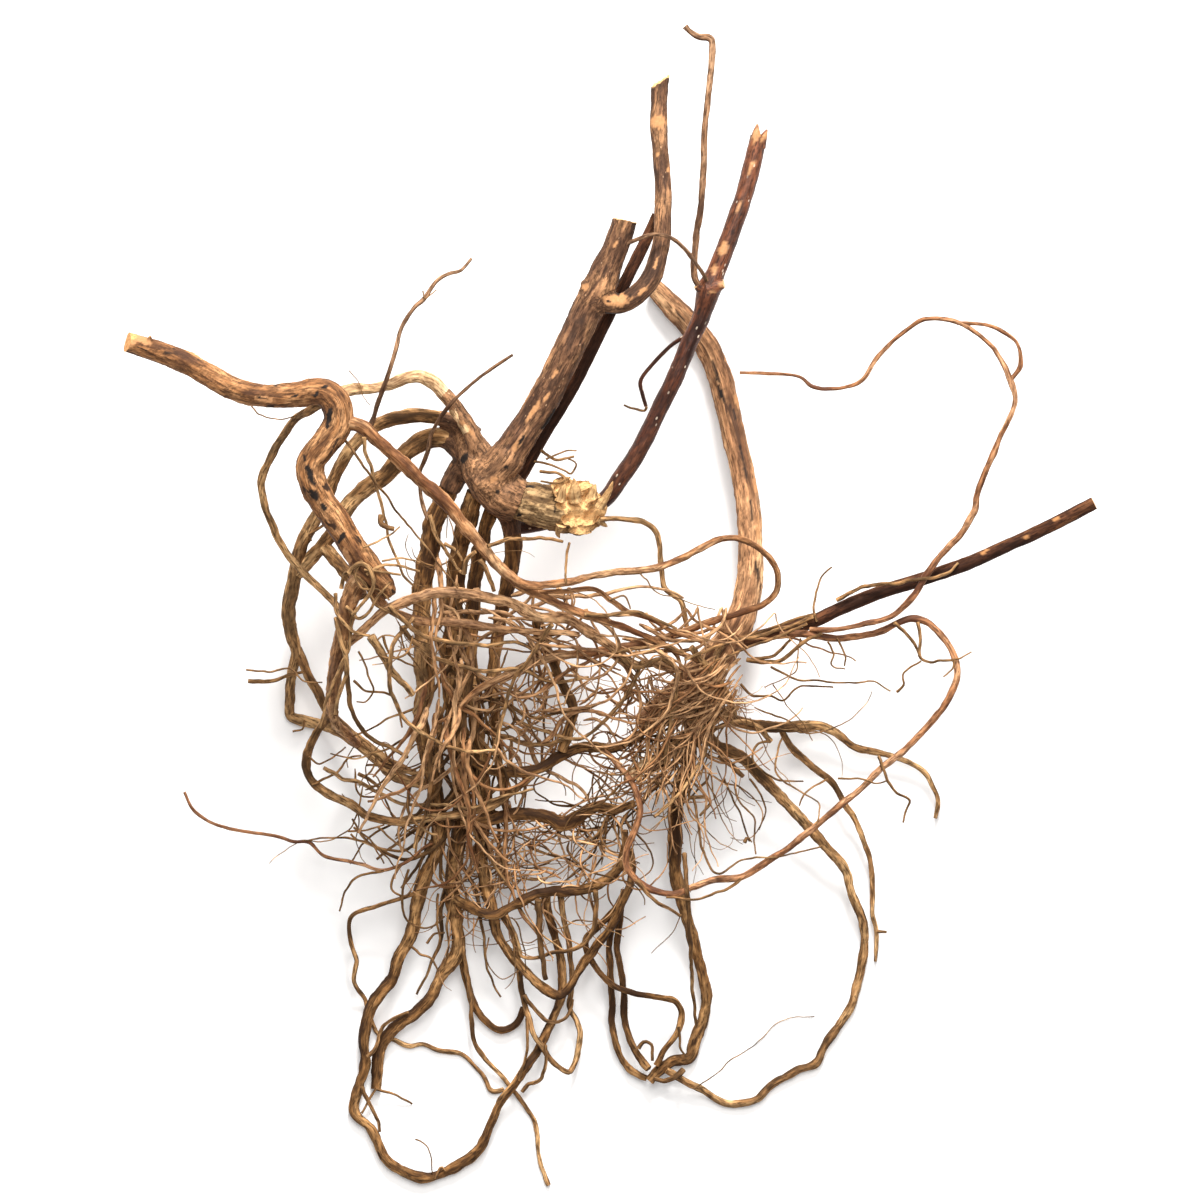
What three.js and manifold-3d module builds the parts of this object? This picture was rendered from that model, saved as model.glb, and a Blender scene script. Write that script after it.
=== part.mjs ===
// Dried melastoma root: a lying tangle of woody roots with the cut and broken lower ends of its stems.
// Units are millimetres. +Z is up, away from the surface it lies on, and z = 0 is that surface.
// Every root is a tapering rod bent along a smooth line. A point is [x, y, z, radius].
import * as THREE from "three";
import { mergeVertices } from "three/addons/utils/BufferGeometryUtils.js";
import Module from "manifold-3d";

const GAP = 0.3; // air between two pieces that grew against each other
const STEP = 11; // length of one straight stretch of a rod
const SMALLEST = 0.04; // detail finer than this is smoothed away
const PLAN_CENTRE = [3.2, -2.5]; // middle of the plan, moved to the origin

const BARK = {
  tan: { color: 0xb58a5c, roughness: 0.8, metalness: 0 },
  orange: { color: 0xb9793f, roughness: 0.78, metalness: 0 },
  brown: { color: 0x8a6238, roughness: 0.85, metalness: 0 },
  grey: { color: 0x7d6450, roughness: 0.85, metalness: 0 },
  dark: { color: 0x4a2c20, roughness: 0.6, metalness: 0 },
  torn: { color: 0xcba268, roughness: 0.9, metalness: 0 },
};

// The root crown: where the stems leave upwards and the main roots spread.
const CROWN = [
  [
    [-46, 56, 50, 3], [-42, 50, 51, 5.5], [-38, 42, 53, 7.5], [-33, 36, 52, 8], [-29, 34, 51, 7.5],
  ],
  [[-38, 40, 54, 7], [-32, 46, 56, 6.4], [-29.5, 50, 57, 5.8]],
  [[-38, 46, 50, 5.5], [-45, 50, 48, 4.8], [-50, 53, 47, 3.8]],
];

// A thick stem that broke off just above the crown.
const STUMP = [
  [
    [-31, 34, 51, 6.5], [-22, 32, 51, 7.2], [-14, 30.5, 52, 8], [-7, 30.5, 53, 9], [-1, 30.5, 54, 7.5],
    [3.2, 32, 55, 4],
  ],
  [[2, 32, 55, 2.6], [3.6, 36, 56, 1.6], [4.2, 39.5, 57, 0.4]],
];

// The thickest living stem, sawn through, with a bud on its left side.
const STEM_A = [
  [
    [-32, 46, 56, 5.6], [-24, 58, 58, 5.4], [-18, 68, 59, 5.3], [-11, 82, 61, 5.2], [-5, 95, 62, 5.4],
    [-1, 102, 63, 5.7], [3, 112, 64, 4.9], [6, 119, 65, 4.4], [8.2, 125.6, 66, 4.2],
  ],
  [[-1, 101, 63, 3], [-4, 104, 64, 2.2], [-5.8, 106, 64.5, 1.2]],
];

const STEM_A_BRANCH = [
  [
    [-1, 99.5, 63, 3.3], [7, 98.5, 64, 3.4], [12.5, 101.5, 64, 3.5], [17, 107, 63, 3.5],
    [19.3, 114, 62, 3.2], [20.7, 121, 61, 3.1], [21, 129, 60, 3.1], [21, 136, 58, 3],
    [20.5, 144, 56, 3], [20, 151, 55, 2.9], [19.5, 158, 54, 3.1], [19.6, 165, 53, 2.9],
    [20, 171, 52, 3], [21.8, 175.6, 52, 0.8],
  ],
];

const STEM_B = [
  [
    [19, 128, 50, 1.8], [14.5, 118, 50, 2], [9, 107, 50, 2.1], [1.5, 92, 49, 2.2], [-3, 83, 48, 2.3],
    [-8, 73, 47.5, 2.3], [-14, 63, 47, 2.3], [-19, 55, 46.5, 2.4], [-24, 46, 46, 2.4],
    [-28, 39, 46, 2.4],
  ],
];

// The glossy dark stem; its foot passes under the stump and a thin twig hangs below its node.
const STEM_C = [
  [
    [53.2, 157, 46, 3], [52, 150, 46, 3], [48, 135, 47, 3], [43.5, 122, 48, 3.1], [39, 110, 48, 3.2],
    [36.5, 103.5, 48, 4], [33.5, 94, 47, 3], [29.5, 85, 46, 2.9], [25, 74, 45, 2.9],
    [19, 62, 43, 2.9], [13, 50, 41, 3], [7, 41, 39, 3], [1, 33, 37, 2.8], [-10, 28, 35.5, 2.7],
    [-20, 25.5, 35, 2.6], [-29, 24, 37.5, 2.4],
  ],
  [
    [31, 89, 45, 0.9], [24, 85, 42, 0.7], [16.5, 77.5, 40, 0.7], [13.5, 73, 39, 0.7],
    [14, 69, 38, 0.7], [15.3, 64.5, 37, 0.6],
  ],
];

const TWIG_C = [
  [
    [36, 103, 49, 1.3], [31.3, 107, 50, 1.2], [32, 121, 49, 1.2], [33.5, 131, 49, 1.1],
    [34.5, 144, 48, 1.2], [35, 158, 47, 1.1], [36.5, 172, 46, 1.1], [37.3, 184, 45, 1.2],
    [36.5, 187, 45, 1.3], [33, 187.5, 45, 1.1], [30, 189.3, 45, 1], [28.3, 191, 45, 1.2],
  ],
];

const TENDRIL = [
  [
    [8, 118, 67, 0.8], [15, 120.7, 69, 0.7], [19, 121.3, 68.5, 0.7], [24, 120, 66, 0.7],
    [29, 115.5, 61, 0.7], [33.5, 109.5, 55, 0.7], [36, 105.5, 50, 0.8],
  ],
];

// The stem that reaches far to the left, bends hard twice and ends in the knot of the orange roots.
const STEM_LEFT = [
  [
    [-158.3, 86, 70, 3.4], [-150, 83.5, 72, 3.6], [-140, 80, 74, 3.8], [-131, 75, 76, 4],
    [-122, 70.3, 78, 4], [-112, 67.8, 79, 4.1], [-102, 67.8, 80, 4.2], [-95, 69, 81, 4.6],
    [-90, 68, 82, 4.9], [-87, 64, 82, 5.1], [-87, 58, 82, 5], [-91, 52, 82, 4.9],
    [-95.5, 46, 81, 4.8], [-95.5, 40, 80, 4.8], [-92, 33, 79, 4.7], [-87, 26, 78, 4.7],
    [-82, 18, 77, 4.6], [-77, 11, 75, 4.8], [-72, 5, 73, 4], [-69.5, 1.5, 72, 2.6],
  ],
  [[-149, 84.5, 73, 1.4], [-149.3, 88.2, 75.5, 0.4]],
];

const ROOT_OVER = [
  [
    [-90, 68, 78, 2.2], [-82, 70, 72, 2], [-76, 70, 66, 1.9], [-70, 71.5, 63, 2], [-64, 74, 62, 2.2],
    [-59, 74, 61, 2.3], [-54, 71, 60, 2.4], [-49, 65.5, 59, 2.4], [-44, 58, 57.5, 2.6],
    [-41, 52, 56, 2.4],
  ],
];

const ROOT_DIAGONAL = [
  [
    [-85, 59, 82, 2.5], [-79, 57.5, 83, 2.6], [-73, 52, 82, 2.4], [-67, 47, 81, 2.3],
    [-60, 40.5, 80, 2.3], [-54, 35, 79, 2.4], [-50, 31, 78, 2.5], [-45, 24.5, 77, 2.4],
    [-40, 18.5, 76, 2.2], [-33, 10.5, 75, 2], [-27, 6, 74, 1.8], [-20, 4.7, 73, 1.5],
    [-12, 5.8, 72, 1.4], [-4, 7.5, 71, 1.3], [5, 9.2, 70, 1.3], [13, 9.7, 68, 1.3],
    [21, 11.3, 66, 1.3], [28, 14.5, 64, 1.2], [36, 18.5, 61, 1.2], [42, 20.4, 58, 1.1],
    [47, 20, 55, 1.1], [53, 17, 51, 1.1], [57.5, 12.5, 47, 1.1], [59.5, 8, 44, 1.1],
    [58.5, 2.5, 41, 1.1], [54, -1.5, 39, 1.1], [47, -4, 38, 1.2], [39, -6.5, 38, 1.3],
    [30, -9.5, 40, 1.3], [21, -12.5, 43, 1.4], [11, -15.2, 46, 1.5], [1, -17, 48, 1.5],
    [-10, -18.3, 50, 1.5], [-20, -20.3, 51, 1.5], [-29, -24, 52, 1.5], [-38, -28.5, 52, 1.4],
    [-44, -33, 51, 1.2],
  ],
];

const ROOT_ARCH_UPPER = [
  [
    [-42, 54, 50, 3], [-47, 58.5, 50, 2.6], [-57, 61, 49, 2.5], [-66, 60.8, 48, 2.5],
    [-72, 59.5, 46, 2.4], [-78, 56, 44, 2.3], [-84, 49, 41, 2.2], [-88.5, 41, 38, 2.2],
    [-92, 33, 36, 2.3], [-96, 26, 33, 2.3], [-99.5, 19, 31, 2.3],
  ],
];

const ROOT_ARCH_LOWER = [
  [
    [-47, 52, 47.5, 3.5], [-52, 54, 47, 3.3], [-58, 53, 45, 3.2], [-64, 49.5, 43, 3.1],
    [-70, 42.5, 40, 3], [-76, 38.5, 38, 2.9], [-83, 32.5, 36, 2.9], [-88, 25, 34, 2.7],
    [-92.5, 18.5, 32, 2.6], [-97, 13, 30, 2.5], [-101, 9, 28, 2.3],
  ],
  [[-92, 17.5, 32, 2.5], [-87, 12, 35, 2.4], [-82, 6, 39, 2.2], [-79, 1, 42, 1.8]],
];

const ROOT_LEFT_LEG = [
  [
    [-99.5, 18, 30.5, 2.3], [-101, 12, 29, 2.4], [-103, 3, 26, 2.5], [-104, -3, 23, 2.5],
    [-103, -11, 20, 2.3], [-101.5, -17, 17, 2], [-103, -26, 12, 1.8], [-103.7, -32, 8, 1.7],
    [-103.5, -38.5, 1.4, 1.9], [-99, -40.5, 1.4, 1.9], [-93, -42, 4, 1.9], [-86, -44.5, 8, 1.9],
    [-80, -49, 11, 1.9], [-74, -54, 14, 1.9], [-68, -59, 17, 2], [-58, -62, 21, 1.8],
  ],
  [
    [-101, -16, 17, 1.6], [-98, -24, 15, 1.6], [-94.5, -31, 12, 1.7], [-90.5, -38, 10, 1.7],
    [-84, -44, 12, 1.6], [-77, -49, 14, 1.4], [-70, -54, 17, 1.3], [-62, -58, 22, 1.2],
  ],
];

const ROOT_PALE_LOOP = [
  [
    [-92, 65, 79, 1.4], [-97, 62.5, 74, 1.5], [-101, 60, 69, 1.4], [-106, 53, 62, 1.4],
    [-110, 46, 57, 1.4], [-112.5, 40, 54, 1.4], [-112, 34, 52, 1.3], [-110, 27, 50, 1.3],
    [-105.5, 17.5, 48, 1.3], [-100, 10.5, 47, 1.3], [-94, 4.5, 49, 1.2], [-88, -1.5, 54, 1.2],
    [-84, -6.5, 60, 1.2],
  ],
];

// The long stout root on the right and the dense hairy root mass it ends in.
const ROOT_LONG = [
  [
    [18, 104.5, 2.6, 3.3], [24, 98.5, 3.2, 3.9], [30, 92, 3.5, 4.2], [36, 84.5, 3.9, 4.2],
    [40, 75, 6, 4.2], [42.5, 65, 8, 4.2], [45, 54, 10, 4.1], [47.5, 43, 12, 4],
    [49.5, 32, 15, 4.1], [50.3, 20, 18, 4.2], [50, 8, 21, 4.5], [48, -3, 24, 4.8],
    [44, -12, 26, 5.2], [38, -20, 27, 5.5], [30, -28, 26, 5.4], [22, -35, 24, 4.6],
    [14, -42, 22, 3.6],
  ],
  [[38, -18, 26, 5], [36, -30, 25, 5], [33, -40, 24, 4.4], [31, -47, 22, 3.4]],
];

const ROOT_BUNDLE_A = [
  [
    [-45, 46, 46, 3.6], [-51, 36, 41, 3.6], [-54.5, 27, 39, 3.6], [-57, 17, 37, 3.5],
    [-59, 6, 35, 3.4], [-59.5, -6, 33, 3.2], [-59, -18, 32, 3.2], [-58.5, -30, 30, 3],
    [-60, -40, 28, 2.8], [-58, -52, 26, 2.8], [-55, -65, 24, 2.6], [-54, -78, 20, 2.6],
    [-56, -87, 17, 2.5], [-59.5, -95, 14, 2.4], [-62, -104, 12, 2.3], [-63.5, -112, 10, 2.3],
    [-67, -119, 9, 2.2], [-69.5, -127, 8, 2.2], [-74.5, -133, 7, 2.1], [-78, -140, 6, 2],
    [-79.5, -148, 5, 1.9], [-78.7, -156, 4, 1.8], [-81, -164, 3, 1.8], [-82, -172, 1.4, 1.9],
    [-76.5, -178, 1.3, 1.8], [-73, -186, 1.3, 1.8], [-67.5, -190.8, 1.4, 1.9],
    [-58, -193.7, 1.4, 1.9], [-49, -190.5, 1.5, 1.9], [-41.5, -185, 2.5, 1.8],
    [-37, -177, 4, 1.6], [-33, -168.5, 5, 1.6], [-27, -159.5, 6, 1.6], [-20.5, -150, 6, 1.6],
    [-16.5, -142, 6, 1.6], [-13.5, -134, 6.5, 1.6], [-12.5, -125, 7, 1.6], [-14, -115, 8, 1.6],
    [-17.5, -104, 11, 1.6], [-18.5, -98, 15, 1.6],
  ],
];

const ROOT_BUNDLE_B = [
  [
    [-41, 36, 47, 3.2], [-46, 20, 38, 3.2], [-48, 8, 35, 3.2], [-49, -5, 32, 3.1],
    [-50, -18, 29, 3], [-49, -32, 27, 3], [-47.5, -45, 25, 3], [-46.5, -58, 23, 3],
    [-46, -70, 20, 2.8], [-48, -83, 17, 2.8], [-49.5, -95, 13, 2.7], [-48.5, -107, 10, 2.5],
    [-47.5, -117, 9, 2.4], [-52.5, -124.5, 7, 2.3], [-56.5, -132.5, 6, 2.2], [-62, -138, 5, 2.1],
    [-68.5, -143.5, 4, 2.1], [-73, -150, 3.2, 2.1], [-74.5, -158, 2.2, 2.1], [-75, -164, 1.5, 2],
  ],
];

const ROOT_BUNDLE_C = [
  [
    [-35, 33, 46, 2.6], [-40, 15, 35, 2.6], [-42, 2, 32, 2.6], [-43, -12, 29, 2.5],
    [-43, -26, 26, 2.5], [-41, -40, 24, 2.5], [-40, -55, 22, 2.6], [-38.5, -70, 19, 2.6],
    [-39.5, -82, 16, 2.4], [-38, -95, 14, 2.3], [-36, -104, 14, 2], [-34, -113, 13.5, 1.8],
    [-28, -121, 13, 1.7], [-21, -128, 12.5, 1.7], [-14.5, -132.5, 12, 1.7], [-10.5, -130, 12, 1.6],
    [-7, -124, 13, 1.6], [-2, -117, 14, 1.6], [4, -109, 16, 1.5], [8, -100, 19, 1.5],
    [10.5, -91, 23, 1.4], [10, -83, 27, 1.3],
  ],
];

const ROOT_BUNDLE_D = [
  [
    [-30, 33, 46, 3], [-29, 17, 38, 2.9], [-30.5, 6, 35, 2.8], [-33, -4, 32, 2.5],
    [-35, -16, 30, 2.2], [-36, -28, 28, 2], [-35, -40, 27, 1.9], [-34, -52, 26, 1.6],
    [-32, -66, 24.5, 1.3], [-31, -70, 25, 1.2],
  ],
];

// The bright orange roots that run across from the knot.
const ROOT_KNOT = [
  [
    [-75, 9, 73, 3.4], [-80, 6, 71, 3.3], [-83, 0, 68, 3.2], [-84, -7, 65, 3], [-86, -15, 60, 3],
    [-88, -24, 54, 2.8], [-89, -32, 47, 2.5], [-89, -38, 40, 2], [-87.5, -42, 33, 1.8],
    [-84, -45, 24, 1.6], [-81, -48.5, 14, 1.4],
  ],
];

const ROOT_ORANGE_UPPER = [
  [
    [-83, -14, 64, 1.4], [-77, -8.5, 70, 1.5], [-72, -4, 71, 1.6], [-66, -1, 71, 1.8],
    [-60, 1, 71, 1.9], [-52, 2.3, 70, 1.9], [-44, 2, 69, 1.9], [-37, 0.5, 68, 1.9],
    [-31, -0.5, 67, 1.9], [-25.5, -3.5, 65, 2], [-20, -5.5, 63, 2], [-12, -6, 61, 2],
    [-6, -9, 59, 2], [0, -13, 56, 1.8], [6, -17, 52, 1.5], [12, -21, 48, 1.3], [20, -21.5, 43, 1.1],
    [27, -24, 35, 1],
  ],
];

const ROOT_ORANGE_LOWER = [
  [
    [-77, 5, 69, 1.6], [-72, -1.5, 66.5, 1.6], [-66, -5, 66, 1.6], [-58, -7, 65, 1.6],
    [-48, -7.5, 64, 1.6], [-36, -9, 62, 1.4], [-26, -10.3, 60, 1.2], [-14, -10.5, 58, 1.1],
    [-7, -11.5, 56, 1],
  ],
];

const ROOT_MIDDLE = [
  [
    [-28, 5.5, 72, 1.5], [-22, 2.3, 69, 1.5], [-15, -0.8, 67, 1.6], [-8, -4, 65.5, 1.6],
    [0, -6.2, 64, 1.4], [8, -9, 60, 1.2], [14, -11.3, 56, 1.1], [22, -15, 50, 1],
    [30, -19, 42, 1], [35, -22, 32, 1],
  ],
  [
    [-22, 2.3, 69, 0.9], [-10, 3, 69, 0.9], [-2, 3.3, 67, 0.9], [3, 0, 64, 0.9], [10, -4, 60, 0.9],
    [16, -6, 56, 0.8], [24, -10, 50, 0.8], [32, -13, 42, 0.8], [37, -16, 33, 0.8],
  ],
];

const ROOT_LOOP_LEFT = [
  [
    [-88.5, -37, 42, 1.5], [-91, -39.5, 37, 1.6], [-95, -45, 32, 1.5], [-98.3, -52, 29, 1.5],
    [-97, -59, 27, 1.5], [-91, -64.5, 26, 1.6], [-83, -68.5, 26, 1.6], [-77, -72.3, 27, 1.6],
    [-68, -73.8, 28, 1.6], [-60, -73, 29, 1.5], [-52, -72, 30, 1.5], [-44, -71, 31, 1.5],
    [-35, -68, 32, 1.4], [-28, -63, 32, 1.3], [-22, -58, 33, 1.2],
  ],
];

const ROOT_DOWN = [
  [
    [-21, -6, 60.5, 1.5], [-20.5, -12, 50, 1.5], [-17.5, -17, 45, 1.7], [-15, -23, 43, 1.7],
    [-12.5, -29, 41, 1.7], [-9.5, -36, 39, 1.8], [-10, -43, 37, 1.9], [-12.8, -50, 34.5, 1.8],
  ],
];

const ROOT_BAND_UPPER = [
  [
    [-48, -49, 30, 1.6], [-42, -54, 32, 1.9], [-35, -57, 32.5, 2], [-27, -57.5, 33, 2],
    [-20, -56, 33, 2], [-13, -52, 32.5, 2], [-5, -49, 32, 1.9], [4, -49.5, 31, 1.7],
    [12, -46, 28, 1.5], [17, -41, 25, 1.4],
  ],
];

const ROOT_BAND_LOWER = [
  [
    [-46, -75, 24, 1.9], [-36, -73.5, 25.5, 2.1], [-27, -71.5, 25.5, 2.2], [-19, -72, 25.5, 2.4],
    [-12.5, -74.5, 26, 2.6], [-7, -72, 26.5, 2.4], [-2, -69, 27, 2], [6, -70, 29, 1.6],
    [11, -68, 33, 1.2],
  ],
];

const ROOT_ARC = [
  [
    [-48, -100, 14, 1.8], [-41, -104, 18.5, 1.8], [-35, -105, 19.5, 1.8], [-29, -102, 19.5, 1.8],
    [-22, -99, 19.5, 1.8], [-14, -97.3, 20, 1.9], [-6, -96.5, 21, 1.9], [1, -94, 22.5, 1.8],
    [6, -89.5, 24.5, 1.7], [8, -84, 29, 1.4], [8, -77, 32, 1.2],
  ],
];

const ROOT_BRIGHT = [
  [
    [34, -41, 30, 2.2], [27, -48.5, 28, 2.3], [20, -52.5, 28, 2.3], [12, -57, 30, 2],
    [9, -60, 34, 1.5],
  ],
];

const ROOT_RIGHT_LOOP = [
  [
    [60, -11.5, 30, 1.3], [66, -11.3, 32, 1.3], [73, -12, 33, 1.3], [80, -12.5, 33, 1.2],
    [88, -11.8, 33, 1.2], [95, -10, 33, 1.2], [100, -7.4, 33, 1.2], [104.5, -6, 33, 1.2],
    [110, -8, 34, 1.2], [114.5, -13, 35, 1.2], [117.5, -18, 36, 1.2], [119, -24, 37, 1.2],
    [117.5, -30, 38, 1.2], [114, -36, 38, 1.2], [109, -42.5, 38, 1.2], [102, -49.5, 38, 1.2],
    [94, -56, 38, 1.2], [86, -63.5, 38, 1.2], [77, -71, 38, 1.2], [69, -77.5, 38, 1.2],
    [58, -85.7, 38, 1.2], [47, -92, 38, 1.3], [39, -93.3, 38, 1.3], [31, -95.8, 38, 1.3],
    [25, -98, 38, 1.2], [19, -97.3, 38, 1.2], [14, -95, 38, 1.2], [10, -91, 38, 1.2],
    [8.3, -86.5, 38, 1.2], [9.5, -81, 38.5, 1.2], [12, -76, 39, 1.2], [13.3, -70, 39, 1.2],
    [12, -64, 38.5, 1.2], [9.5, -59, 37, 1.1], [5, -54, 35, 1.1], [1, -50, 32.5, 1],
  ],
];

const ROOT_THIN_LOOP = [
  [
    [70, -10, 33.5, 0.9], [77, -10, 35.5, 0.9], [85, -9, 36, 0.9], [95, -6.6, 36, 1],
    [100, -3.6, 36, 1.1], [104, 1, 36, 1.1], [109, 8.5, 36, 1.2], [113, 14, 36, 1.1],
    [116, 17.5, 36, 1.1], [120.5, 22, 37, 1.1], [124.5, 29.5, 38, 1.2], [125.5, 35, 38, 1.1],
    [128, 41.5, 39, 1.1], [131.5, 50, 40, 1.1], [133.5, 55.5, 40, 0.9], [137, 62, 41, 0.9],
    [138.3, 67, 41, 1], [137, 73, 41, 1.1], [133.5, 80, 41, 0.9], [129, 86, 41, 0.8],
    [122, 91, 41, 0.8], [116, 93.2, 41, 0.8], [110, 93.5, 41, 0.8], [106, 92.5, 40, 0.8],
    [98, 86.5, 38, 0.8], [92, 80, 37, 0.8], [87.5, 73.5, 36, 0.8], [82, 71, 35, 0.7],
    [77, 70.3, 34, 0.7], [71, 71, 33, 0.7], [66.5, 74.5, 32, 0.6], [60, 75.4, 31, 0.6],
    [47, 75.7, 29, 0.6],
  ],
  [
    [137, 73, 41, 0.8], [140.3, 78, 41, 0.8], [139.5, 84, 41, 0.7], [137, 87.5, 41, 0.7],
    [131, 91, 41, 0.7], [125, 91.8, 41, 0.7], [119, 92, 41, 0.7],
  ],
];

const STEM_E = [
  [
    [164.8, 32.3, 34, 2.2], [153, 26.2, 33, 2.3], [140, 20, 32, 2.2], [122, 12, 31, 2.3],
    [105, 6.3, 30, 2.3], [92, 2, 29, 2.3], [80, -3, 28, 2.3], [70, -7.5, 27.5, 2.3],
    [58, -11, 27, 2.3], [47, -14, 26, 2.3],
  ],
];

const ROOT_OUTER_UPPER = [
  [
    [37, -35, 25, 2], [43, -39.5, 19, 2.1], [53, -42.3, 14, 2.1], [61, -42.5, 11, 2.1],
    [68, -42, 9, 2], [74, -42, 8, 1.7], [79, -44.5, 7, 1.5], [84, -48.3, 6, 1.4],
    [90, -50.5, 5.5, 1.3], [97, -52.2, 5, 1.1], [104, -54.5, 4.5, 1], [108.5, -57.5, 4, 0.9],
    [111, -62, 3.5, 0.8], [113, -67, 3, 0.8], [112.3, -73, 2.5, 0.7],
  ],
  [
    [60, -42, 11, 1.4], [64, -49, 9, 1.3], [70, -55, 8, 1.2], [77, -60.5, 7, 1.2], [81, -67, 6, 1.1],
    [85.5, -73.5, 5.5, 1], [88.2, -80.5, 5, 1], [90.5, -88, 4, 0.9], [91.2, -98, 3.5, 0.9],
    [91.4, -105, 3, 0.8], [92.5, -110.5, 2.5, 0.8], [92, -121, 1.5, 0.6],
  ],
];

const ROOT_OUTER_LOWER = [
  [
    [33, -42, 25, 2.2], [40, -49, 21, 2.2], [48, -53, 18, 2.1], [54, -59.5, 15, 2],
    [62, -67.5, 12, 2], [70, -76, 10, 1.9], [77, -84, 8, 1.8], [82, -90, 7, 1.7],
    [84.5, -98.5, 6, 1.6], [88, -107.5, 4, 1.6], [88.3, -117, 1.3, 1.6], [86, -130, 1.2, 1.6],
    [82.5, -139, 1.2, 1.5], [75.5, -149, 1.2, 1.5], [72.5, -155, 1.2, 1.5], [66, -157.8, 1.2, 1.5],
    [58, -162, 1.2, 1.4], [52.5, -167, 1.1, 1.4], [46, -169, 1, 1.4], [41.5, -168.3, 1.1, 1.3],
    [35, -164.8, 2.5, 1.3], [27, -160.3, 5, 1.3], [22, -157.5, 6.5, 1.2],
  ],
];

const ROOT_TAIL = [
  [
    [31, -44, 21, 2.4], [29, -58, 18, 2.6], [26, -68, 16, 2.6], [24.8, -80, 14, 2.5],
    [25.5, -92, 12, 2.3], [27.5, -101, 10, 2.2], [30.5, -111, 8, 2], [33, -120, 6, 2],
    [35.3, -130, 4, 2], [35, -139, 2, 2], [32, -147, 1.6, 2.1], [30, -153.5, 1.6, 2.2],
    [24, -154.5, 3, 2], [19.5, -157.5, 4, 2], [16.5, -161, 4, 1.8],
  ],
];

// Thin roots that hang below the tangle and curl back together.
const ROOT_HANGING = [
  [
    [8, -97, 16, 1.3], [6.3, -108, 12, 1.3], [5.7, -116, 10, 1.2], [7.5, -127, 8, 1.2],
    [8, -140, 6, 1.3], [10.5, -148, 5, 1.3], [14, -154, 5.5, 1.3], [16.5, -157, 7, 1.2],
  ],
  [
    [7.5, -99, 15, 1.2], [4, -107, 12, 1.2], [3, -117, 9, 1.2], [3.7, -131, 6, 1.2],
    [4.2, -144, 4, 1.2], [8, -154.5, 2.4, 1.2], [12.5, -158.7, 2.4, 1.2], [15.5, -160, 3, 1.1],
  ],
  [
    [5, -104, 13, 1.2], [0, -109, 11.5, 1.3], [-4.7, -114.5, 10, 1.2], [-1.5, -123, 10, 1.1],
    [3, -128, 10.5, 1.1], [9, -131, 11, 1.1], [20, -133, 9, 1.1], [25.5, -134.5, 8, 1.1],
    [27.5, -138.5, 7, 1.1], [26, -144, 7, 1.1], [21.5, -151, 7, 1.1], [19, -156, 7.2, 1.1],
  ],
];

const ROOT_HOOK = [
  [
    [-46.5, -116, 8, 1.4], [-44.5, -129, 4, 1.3], [-42, -136, 3, 1.3], [-37, -142.5, 2.2, 1.3],
    [-32, -144, 2, 1.3], [-28, -142, 2.4, 1.3], [-25.5, -137, 4.8, 1.3],
  ],
];

const ROOT_CURL = [
  [
    [-34, -104, 16.5, 1], [-29, -112, 11, 1.1], [-27, -124, 8.5, 1.1], [-25.3, -135, 7, 1.1],
    [-22.5, -145, 9, 1.1], [-18.5, -150.5, 9.5, 1.1], [-14.5, -155.5, 8, 1], [-10, -158, 6, 1],
    [-7.6, -153, 5, 1], [-6.6, -146, 5, 1], [-8, -141, 5, 1], [-10.3, -136.5, 5, 1],
    [-9.5, -130, 6, 1], [-9.5, -123, 8, 1], [-11, -112, 12, 1], [-13.5, -98, 18.5, 1.1],
  ],
];

const ROOT_STRAY = [
  [
    [-46.3, -115.5, 10.8, 0.9], [-43.7, -129, 8, 0.8], [-43, -140, 5.5, 0.8], [-42, -148, 4, 0.8],
    [-38, -154, 3, 0.8], [-33, -159, 2, 0.8], [-29.5, -163.5, 1.6, 0.8], [-25, -170, 1, 0.8],
    [-21.5, -176, 0.7, 0.8], [-20.5, -184, 0.7, 0.8], [-19.5, -190, 0.7, 0.8], [-17, -196, 0.7, 0.7],
  ],
];

const ROOT_OUTLINE = [
  [
    [-59, -97, 14, 0.9], [-67, -99.8, 14, 0.8], [-75, -102.3, 13, 0.8], [-82, -105, 11, 0.8],
    [-84, -109, 10, 0.8], [-83, -116, 9, 0.8], [-81.5, -121, 8, 0.8], [-82.5, -128, 6, 0.8],
    [-79, -133, 3, 0.8], [-77.5, -138, 2, 0.8], [-76, -142, 1.6, 0.8], [-74, -145.5, 1, 0.8],
    [-69, -147.3, 0.8, 0.8], [-64, -149.5, 0.7, 0.8], [-60, -149, 0.7, 0.8], [-55, -151, 0.7, 0.8],
    [-47, -152, 0.7, 0.8], [-42, -156, 0.8, 0.8], [-38.5, -160, 1, 0.8], [-36.3, -164.5, 1, 0.9],
    [-32, -163.7, 1, 0.8],
  ],
];

const ROOT_LONG_THIN = [
  [
    [-139, -64, 14, 0.5], [-136, -70, 14, 0.6], [-131, -74, 14, 0.6], [-125, -76, 14, 0.6],
    [-116, -77.5, 15, 0.6], [-108, -79, 15, 0.6], [-103, -80.8, 16, 0.6], [-97, -81, 16, 0.6],
    [-92, -86, 17, 0.6], [-84, -87.5, 18, 0.6], [-79, -88.5, 18, 0.6], [-72, -90.5, 19, 0.6],
    [-64, -87, 20, 0.6], [-58, -82, 20, 0.6], [-54, -80, 19.5, 0.7],
  ],
];

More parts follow.
